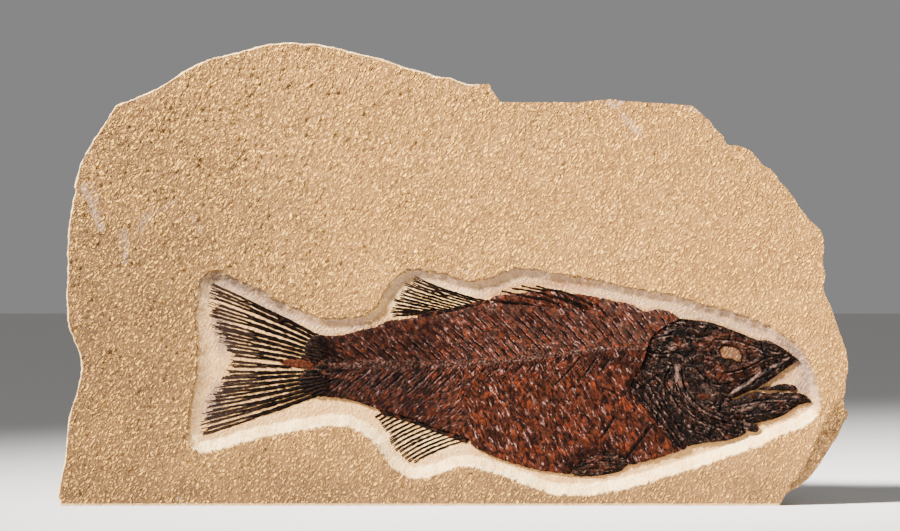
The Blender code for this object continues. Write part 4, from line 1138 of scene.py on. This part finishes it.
# %% [markdown]
# ## The scaled flank
#
# Behind the head the skin is still there. Its scales lie in rows, each over the next one
# towards the tail. The backbone shows through as a crumbly band, one joint every seven
# millimetres, and the spines and ribs lean back from it like a herringbone. Instead of
# drawing each rib as an object, the sheet works out where every point lies between two ribs,
# so the ribs can fade out where the skin covers them.

# %% Spines, ribs and scales in one height function
COLUMN = np.array(BACKBONE, float)
FLANK_RODS = [[(92.3, 25.2), (97.6, 32.1), (103, 38.9), (106.8, 44.2)],
              [(79.8, 37.2), (83.6, 42.6), (87, 48.7)]]
FIN_SUPPORTS = [[(37.4, 106.9), (50, 97.7)], [(48, 107), (60, 97.5)], [(60, 106.4), (70, 97.6)],
                [(72.3, 105.1), (80.3, 96.6)], [(78.6, 108.6), (90, 100)],
                [(80.9, 102.3), (87.1, 93.1)], [(26, 108), (38, 99)], [(16, 106.6), (27, 97.4)],
                [(6, 104.4), (16, 95.6)], [(-5, 102), (5, 93.6)]]
FLANK_LOOP = ragged(FLANK, 0.6, 0.2, 171)
free_edge = distance_to(FLANK_LOOP, [FLANK_TO_SKULL, FLANK_TO_SHOULDER, TAIL_SEAM, PELVIC_SEAM])
tatters = 0.45 * np.clip(free_edge / 3, 0, 1) * ripple(FLANK_LOOP, 1.9, 172)
FLANK_LOOP += outward(FLANK_LOOP) * tatters[:, None]
DARK_PLACES = [
    ([(74, 80), (84, 80), (96, 79)], 6.5, 0.75),
    ([(96, 62), (97, 68), (99, 74)], 6, 0.95),
    ([(92, 24), (100, 33), (107, 43)], 2.6, 0.9),
    ([(-70, 90), (-68, 76), (-70, 61)], 20, 1.0),
    ([(-62, 76), (-54, 76)], 6, 0.6),
    ([(63, 20), (70, 27), (82, 31), (96, 26)], 7, 1.0),
    ([(84, 108), (97, 104), (105, 97)], 4, 0.35),
]
BLACK_STROKES = [[(-72, 88), (-62, 82.6)], [(-72, 84), (-59, 79.4)], [(-72, 79), (-62, 78)],
                 [(-72, 72), (-59, 73)], [(-72, 66), (-62, 69)],
                 [(80, 64.6), (86, 62.4), (92, 59.4)],
                 [(94, 24.6), (99.3, 31.5), (104.7, 38.3), (109, 44)],
                 [(81, 37), (85, 42.4), (88.4, 48.4)], [(70, 81), (63, 73), (56, 66)],
                 [(78, 80), (72, 71)], [(86, 80), (81, 73)], [(44, 97), (37, 106)],
                 [(12, 74.6), (10.6, 73)], [(18, 75), (16.4, 73)], [(25, 75.6), (23.6, 73.6)],
                 [(31, 76.4), (29.6, 74.2)], [(38, 77), (36.4, 74.6)], [(46, 77.6), (44.4, 75)]]


def flank_height(points):
    x, z = points.T
    above = z - np.interp(x, COLUMN[:, 0], COLUMN[:, 1])
    beyond = np.clip(np.abs(above) - 2.4, 0, None)
    near_head = np.clip((x + 70) / 160, 0, 1)
    rise = body_height(points) + 0.3 * ripple(points, 6, 173)

    # the ribs: where each point lies between two of them, and how far they show
    lean = np.radians(np.where(above > 0, 38 + 16 * near_head, 40 + 10 * near_head))
    root = x + beyond / np.tan(lean) + 0.5 * ripple(points, 5, 174)
    fine = np.where((above > 0) & (x > -12), 1.5, 1.0)
    rib = fine * root / VERTEBRA_PITCH
    reach = np.where(above > 0, 10 + 24 * near_head, 16 - 4 * near_head)
    shown = np.clip((reach - beyond) / 5, 0, 1) * (beyond > 0)
    shown *= np.clip(0.7 + 2.0 * ripple(points, 6, 175), 0.0, 1)
    shown *= np.where(above > 0, 1.0, np.clip((12 - x) / 18, 0.3, 1))
    trough = np.clip(1 - np.abs(rib % 1.0 - 0.5) / 0.15, 0, 1) * shown
    crest = np.clip(1 - np.abs(rib % 1.0 - 0.74) / 0.14, 0, 1) * shown

    # the scales, and the grain that leans another way on each part of the body
    scales = scale_rows(points + 0.5 * wander(points, 4, 176), 3.1, 178)
    grain = np.where(above > 0, fibres(points, -40, 3.4, 0.6, 179),
                     fibres(points, 45, 3.4, 0.6, 180))
    grain = np.where((above < -12) & (x > 5), fibres(points, -58, 3.2, 0.8, 181), grain)
    lie = np.where(above > 0, -46, np.where(x + 8 * ripple(points, 12, 186) < 4, 44, -64))
    coarse = np.where((above < -8) & (x > 5), 1.4, 1.1)  # the belly's scales are larger
    rise += 0.5 * scales * (1 - 0.6 * shown) + 0.34 * grain
    rise += 0.3 * crest - 0.45 * trough

    # the backbone, narrow in the middle of each joint and again between two
    half = np.interp(x, (-60, 0, 40, 100), (3.1, 2.6, 1.9, 1.4))
    on_column = np.clip(1 - np.abs(above) / half, 0, 1) ** 0.5
    joint = (x / VERTEBRA_PITCH) % 1.0
    waist = 1 - 0.45 * np.exp(-((joint - 0.5) / 0.2) ** 2)
    waist -= 0.6 * np.exp(-((joint - 0.02) / 0.05) ** 2)
    chip, _ = broken_plates(points, 1.5, 182)
    rise += on_column * (0.4 * waist + 0.6 * chip)

    # the fins' supports, the rods and strokes, and the torn and darkened places
    supports = near_lines(points, FIN_SUPPORTS, 0.9)
    strokes = near_lines(points, BLACK_STROKES, 1.0)
    rods = near_lines(points, FLANK_RODS, 1.2)
    rise += 0.3 * rods - 0.3 * supports - 0.4 * strokes
    torn = np.clip(1.4 * ripple(points, 13, 183) - 0.55, 0, 1)
    rise -= 0.25 * torn
    shade = 0.65 * np.clip((2 - x) / 14, 0, 1) + 0.5 * torn
    shade = np.maximum(shade, marked(points, DARK_PLACES)) * (0.8 + 0.7 * ripple(points, 3, 184))
    seam = 0.9 * near_lines(points, [TAIL_SEAM], 5) * (0.8 + 0.6 * ripple(points, 4, 185))
    hollow = 2.4 * np.clip(0.25 - scales, 0, 0.25)
    groove = 0.8 * supports + strokes + 0.7 * rods + 0.6 * hollow + 0.7 * (grain < -0.55)
    dusted = 0.1 * near_head * (above > 2) * (0.8 + ripple(points, 5, 187))
    return np.maximum(rise, 0.5), {
        "groove": np.clip(groove, 0, 1), "shade": np.clip(np.maximum(shade, seam), 0, 1),
        "grey": np.clip(on_column * (0.1 + 0.5 * (chip > 0.25)) + dusted, 0, 1),
        "rib": rib, "ribbed": shown, **grain_fields(points / coarse[:, None], lie)}


plate("flank_skin", FLANK_LOOP, 0.385, flank_height, SCALES, "scaled_flank")

# %% [markdown]
# ## The fins
#
# A fin ray is a rod of many short segments that splits in two, and in two again, towards
# its tip. Each one is swept here as a low rounded strip along its own path. The last third
# is broken up into loose ends, as in the stone. The spines of the front fin don't split.

# %% Sweep a ray, and gather the rays of a fin
RAY_SIDES = 5
RAY_FOOT = -0.2  # how far a ray's sides go down into what lies under it


def swept(path, widths, lift, under):
    """A low rounded strip along a path. Widths, lift and what lies under it have a value for
    each point."""
    rings = []
    for (x, z), (ax, az), width, high, foot in zip(path, leftward(path), widths, lift, under):
        for aside, up in ((1, RAY_FOOT), (0.72, 0.72 * high), (0, high), (-0.72, 0.72 * high),
                          (-1, RAY_FOOT)):
            rings.append((x + ax * aside * width / 2, BED_Y - foot - up,
                          z + az * aside * width / 2))
    faces = []
    for first in range(0, RAY_SIDES * (len(path) - 1), RAY_SIDES):
        for k in range(RAY_SIDES):
            a, b = first + k, first + (k + 1) % RAY_SIDES
            faces.append((a, b, b + RAY_SIDES, a + RAY_SIDES))
    last = RAY_SIDES * (len(path) - 1)
    faces += [(4, 3, 2, 1, 0), tuple(last + k for k in range(RAY_SIDES))]
    return rings, faces


class Fin:
    """The rays of one fin, gathered into one piece."""

    def __init__(self, under=None):
        """Under gives how high the bone under the rays stands over the bed."""
        self.under = under or (lambda points: np.zeros(len(points)))
        self.vertices, self.faces, self.rough, self.pale = [], [], [], []

    def ray(self, path, wide, narrow, lift, seed, worn, pale=0.0):
        """Worn is how much of its height the ray may lose in places, and pale how much stone
        dust clings to it."""
        path = resampled(path, 1.1)
        share = np.linspace(0, 1, len(path))
        bent = 0.22 * ripple(path, 3, seed) * np.minimum(share * 4, 1)
        path = path + leftward(path) * bent[:, None]
        uneven = ripple(path, 2, seed + 1)
        width = (wide + (narrow - wide) * share) * (1 + 0.3 * uneven)
        high = lift * (1 - 0.45 * share) * (1 + 0.25 * uneven)
        high *= 1 - worn * np.clip(ripple(path, 3.5, seed + 2) * 2, 0, 1)
        rings, faces = swept(path, width, np.maximum(high, 0.12), self.under(path))
        first = len(self.vertices)
        self.vertices += rings
        self.faces += [tuple(first + i for i in face) for face in faces]
        self.rough += np.repeat(np.clip(-uneven * 1.6, 0, 1), RAY_SIDES).tolist()
        self.pale += np.repeat(np.clip(pale * (1 + uneven), 0, 1), RAY_SIDES).tolist()

    def made(self, name, node):
        vertices = np.array(self.vertices)
        add_piece(name, vertices, self.faces, FIN_RAY, node,
                  # painted sheen on the rays' uneven parts
                  {"ridge": 0.15 * np.array(self.rough), "grey": self.pale,
                   **grain_fields(vertices[:, [0, 2]], 0)})


def noisy(number, part, seed):
    """One value from -1 to 1."""
    return 2 * hashed(number, part, seed) - 1


def fanned(roots, tips, count, bend, stray):
    """For each ray: a function that gives the point at a share of its length, aside by some mm.
    Stray is how far a tip may wander, in gaps between rays."""
    for number, share in enumerate(np.linspace(0, 1, count)):
        wandered = np.clip(share + stray * noisy(number, 7, 205) / count, 0, 1)
        root, tip = along_path(roots, share), along_path(tips, wandered)
        run = tip - root
        across = np.array([-run[1], run[0]]) / np.linalg.norm(run)
        turn = bend[0] + (bend[1] - bend[0]) * share + 0.012 * noisy(number, 8, 206)
        bow = across * np.linalg.norm(run) * turn * 2

        def at(part, aside=0.0, root=root, run=run, across=across, bow=bow):
            return root + run * part + bow * part * (1 - part) + across * aside

        yield number, at


# %% [markdown]
# Every fin grows from a band of bone. The tail's band is as high as the flank where it meets
# it, and sinks to the bed behind it, so its rays begin on a slope. A tongue of torn brown skin
# lies in the fork of the tail, and the two rays beside it only begin where it ends.

# %% Make the tail fin
TAIL_ROOTS = [(-71, 91), (-72.6, 88.4), (-74.6, 85.6), (-77, 82.6), (-79.4, 79.6), (-80.4, 77),
              (-80.4, 74.6), (-79.4, 71.6), (-77.4, 68.2), (-74.6, 64.6), (-71.4, 61.2)]
TAIL_TIPS = [(-131.8, 119.5), (-131, 112), (-130, 104), (-127.6, 96), (-124, 89), (-119.8, 82),
             (-119.6, 76), (-122.6, 70), (-127, 64), (-130.6, 56), (-133.6, 48), (-134.3, 40.4)]
TAIL_BAND = [*[(x + 1.6, z) for x, z in TAIL_SEAM[::-1]], (-75, 92.6), (-78.6, 89.4),
             (-80.6, 85.6), (-80.2, 82), (-77.6, 79.6), (-75.2, 77.4), (-76.4, 75), (-80.4, 73),
             (-83, 69.6), (-82.6, 65.6), (-79.4, 62), (-75, 59.8)]
FORK = [(-74.6, 79.2), (-78, 80), (-84, 80.2), (-90, 79.6), (-94, 78.4), (-91, 76.2), (-85, 75),
        (-79, 74.4), (-75, 75)]
FORK_STARTS = {8: 0.3, 9: 0.2}  # where the two rays behind the torn skin begin
TAIL_RAYS = 18
TAIL_SLOPE = 14  # how far behind the flank the tail's band is down on the bed


def tail_root_height(points):
    """Level with the flank at the seam, and low behind it."""
    share = 1 - smooth_step(distance_to(points, [TAIL_SEAM]) / TAIL_SLOPE)
    return 0.8 + (body_height(points) - 0.8) * share


def root_band(name, node, loop, rise, grain, seed, rusty=0.0):
    """The thick band of bone that a fin's rays grow from."""
    loop = ragged(loop, 0.6, 0.2, seed)

    def height(points):
        tilt, crack = broken_plates(points, 2.6, seed + 1)
        strands = fibres(points, grain, 3.6, 0.7, seed + 2)
        up = (rise(points) if callable(rise) else rise) + 0.3 * tilt + 0.22 * strands
        up += 0.4 * smooth_step(depth_in(points, loop) / 3)
        stained = 1.5 * ripple(points, 4, seed + 3) - 0.3
        return np.maximum(up, 0.3), {
            # painted sheen on the plates' high parts
            "groove": np.clip(1 - crack / 0.2, 0, 1), "ridge": 0.3 * (tilt > 0.45),
            "rusty": np.clip(stained, rusty, max(0.6, rusty)),
            "grey": np.clip(3 * strands - 1.3, 0, 0.6), **grain_fields(points, grain)}

    plate(name, loop, 0.5, height, FIN_RAY, node)


def tail_rays():
    """Each ray is a stem that splits in two, and each half frays into loose strands."""
    fin = Fin(lambda points: (tail_root_height(points) + 0.2)
              * smooth_step((depth_in(points, TAIL_BAND) + 0.6) / 1.6))
    for number, at in fanned(TAIL_ROOTS, TAIL_TIPS, TAIL_RAYS, (-0.035, 0.03), 0.25):
        split = 0.46 + 0.07 * noisy(number, 5, 203)
        outer = 0.8 + 0.35 * abs(2 * number / (TAIL_RAYS - 1) - 1)
        start = FORK_STARTS.get(number, -0.14)
        stem = [at(start), at((start + split) / 2), at(split)]
        fin.ray(stem, 1.6, 2.5 * outer, 0.8, 200 + number, 0.05)
        for half in (-1, 1):
            end = 0.76 + 0.08 * noisy(number, half, 201)
            branch = [at(split - 0.05, 0.4 * half), at(0.65, 0.62 * half), at(end, 1.05 * half)]
            fin.ray(branch, 1.5 * outer, 1.15, 0.7, 300 + number * 8 + half, 0.35)
            for tuft in (-1.5, -0.5, 0.5, 1.5):
                reach = 1.01 + 0.06 * noisy(number * 4 + half, int(tuft + 1.5), 202)
                strand = [at(end - 0.14, half * 0.85 + 0.14 * tuft),
                          at((end + reach) / 2, half * 1.05 + 0.36 * tuft),
                          at(reach, half * 1.2 + 0.55 * tuft)]
                seed = 700 + number * 16 + half * 4 + int(2 * tuft)
                fin.ray(strand, 0.8, 0.45, 0.5, seed, 1.0, 0.12)
    fin.made("tail_rays", "tail_fin")


root_band("tail_root", "tail_fin", TAIL_BAND, tail_root_height, 0, 211)
root_band("tail_fork_skin", "tail_fin", FORK, 0.4, -20, 216, 0.7)
tail_rays()


# %% Make the fins along the back and under the belly
def soft_fin(name, node, roots, tips, band, count, bend, grain, seed):
    """Rays that split once, with the band at their roots."""
    root_band(name + "_root", node, band, 0.5, grain, seed)
    fin = Fin()
    for number, at in fanned(roots, tips, count, bend, 0.14):
        split = 0.66 + 0.1 * noisy(number, 0, seed + 3)
        end = 1 + 0.06 * noisy(number, 1, seed + 3)
        fin.ray([at(-0.06), at(0.25), at(split)], 0.9, 1.65, 0.5, seed + 10 + number, 0.1)
        for half in (-1, 1):
            path = [at(split - 0.04, 0.15 * half), at((split + end) / 2, 0.28 * half),
                    at(end, 0.5 * half)]
            fin.ray(path, 1.0, 0.75, 0.45, seed + 40 + number * 2 + half, 0.7, 0.04)
    fin.made(name + "_rays", node)


soft_fin("rear_dorsal", "rear_dorsal_fin",
         [(17.5, 111.6), (8, 109.4), (-1, 107), (-10, 105.4), (-17, 104)],
         [(-18.8, 123.4), (-24, 120.4), (-28, 116.6), (-31, 111.4), (-33.2, 107), (-32.5, 103.4)],
         [(19.8, 111.2), (18.5, 112), (8, 109.8), (-1, 107.5), (-12, 105.3), (-19, 103.9),
          (-18, 101.8), (-12, 102.6), (0, 104.8), (10, 107.4), (19.4, 109.8)],
         13, (0.05, -0.02), 150, 221)
soft_fin("anal", "anal_fin",
         [(7.6, 35.4), (0, 38.2), (-10, 41.6), (-20, 45.4), (-30, 48.6), (-37, 50.6)],
         [(-21.5, 23.2), (-26, 25.4), (-29.5, 30), (-33, 34.4), (-36, 39.6), (-38.6, 43.6),
          (-42, 48)],
         [(8.8, 35.4), (7, 34), (-1, 37), (-11, 40.6), (-21, 44.4), (-31, 47.6), (-38, 49.4),
          (-40, 53.6), (-32, 51.2), (-22, 48.4), (-12, 44.4), (0, 40.4), (8.6, 37.4)],
         15, (-0.1, -0.06), 210, 331)

# %% [markdown]
# The front dorsal fin is different: a scaled membrane with five spines, which lie on the
# membrane and on the flank's skin, so each one stands on whatever is under it.

# %% Make the front dorsal fin, whose spines lie over a scaled membrane
SPINES = [[(76.3, 108.9), (66, 114.3), (56.9, 117), (52.3, 117.7), (45.4, 119.7)],
          [(72.9, 108.3), (63.1, 112.3), (58, 116), (46.6, 117.7), (37.4, 119.7)],
          [(70, 108), (57.4, 113.1), (45.4, 116.3), (32.3, 118.3)],
          [(57.4, 109.7), (50, 112.3), (38.6, 114.3), (26.6, 116.9)],
          [(47.7, 108), (42, 109.7), (32.9, 110.6), (20.3, 112)]]
MEMBRANE = [(21, 110.6), *[(x, z + 0.1) for x, z in CREST_LINE[1:]], *MEMBRANE_TOP]
MEMBRANE_LOOP = ragged(MEMBRANE, 0.6, 0.35, 241)


def membrane_height(points):
    scales = scale_rows(points, 2.4, 242)
    rise = body_height(points) + 0.3 * scales + 0.25 * ripple(points, 4, 243)
    rise += 0.15 * fibres(points, -30, 3, 0.6, 244)
    return np.maximum(rise, 0.3), {"groove": np.clip(0.5 - scales, 0, 0.4) * 2,
                                   # painted sheen on the tops of the scales
                                   "ridge": 0.2 * (scales > 0.9), **grain_fields(points, -46)}


plate("front_dorsal_skin", MEMBRANE_LOOP, 0.42, membrane_height, SCALES, "front_dorsal_fin")


def skin_under(points):
    """The height of the skin under a spine, falling to the bed beyond its edge."""
    within = np.maximum(depth_in(points, MEMBRANE_LOOP), depth_in(points, FLANK_LOOP))
    return (body_height(points) + 0.3) * smooth_step((within + 0.8) / 1.6)


front_dorsal = Fin(skin_under)
for number, spine in enumerate(SPINES):
    front_dorsal.ray(spine, 1.5, 1.0, 0.8, 251 + number, 0.1)
front_dorsal.made("front_dorsal_spines", "front_dorsal_fin")

crushed_bone("pelvic_fin_bone", "pelvic_fin", PELVIC, 1.0, 0.7, 3, 8, 261, plates=2.6,
             base=body_height, rusty=0.4, ridge_width=1.0,
             ridges=[[(93.7, 22.8), (85.7, 20.1), (70.3, 18.4)],
                     [(93, 23.7), (85, 23.2), (71, 20.8)],
                     [(92.3, 24.6), (84.3, 26.3), (71.7, 23.2)]])

# %% [markdown]
# ## Floor, light and camera
#
# The slab stands on a plain pale floor in even white surroundings. One lamp up and to the left
# rakes the face, so that each wrinkle has a lit and a shaded side. A weak broad lamp in front
# keeps the shadows open.

# %% Stage the slab
def stage_sheet(name, corners, tint):
    material = bpy.data.materials.new(name)
    material.use_nodes = True
    shader = material.node_tree.nodes["Principled BSDF"]
    shader.inputs["Base Color"].default_value = tint
    shader.inputs["Roughness"].default_value = 0.9
    mesh = bpy.data.meshes.new(name)
    mesh.from_pydata(corners, [], [(0, 1, 2, 3)])
    mesh.materials.append(material)
    made = bpy.data.objects.new(name, mesh)
    bpy.context.scene.collection.objects.link(made)


def lamp(name, place, target, size, power, spread=180, tint=(1, 1, 1)):
    data = bpy.data.lights.new(name, "AREA")
    data.size, data.energy, data.color = size, power, tint
    data.spread = math.radians(spread)
    made = bpy.data.objects.new(name, data)
    made.location = place
    made.rotation_euler = (Vector(target) - Vector(place)).to_track_quat("-Z", "Y").to_euler()
    bpy.context.scene.collection.objects.link(made)


stage_sheet("floor", [(-8, -8, 0), (8, -8, 0), (8, 8, 0), (-8, 8, 0)], colour(222, 220, 216))
lamp("key", (-1.75, -1.4, 1.95), (0.05, 0, 0.26), 0.45, 22.6, 30, (1.0, 0.98, 0.95))
lamp("fill", (1.0, -2.1, 1.3), (0, 0, 0.1), 1.6, 10)
world = bpy.data.worlds.new("studio")
world.use_nodes = True
world.node_tree.nodes["Background"].inputs["Color"].default_value = (1, 1, 1, 1)
world.node_tree.nodes["Background"].inputs["Strength"].default_value = 0.25
bpy.context.scene.world = world

view = bpy.data.cameras.new("view")
view.sensor_width, view.lens = 36, 147.1
camera = bpy.data.objects.new("view", view)
camera.location = (-0.0014, -2.012, 0.1307)
camera.rotation_euler = (math.radians(90), 0, 0)
bpy.context.scene.collection.objects.link(camera)
bpy.context.scene.camera = camera
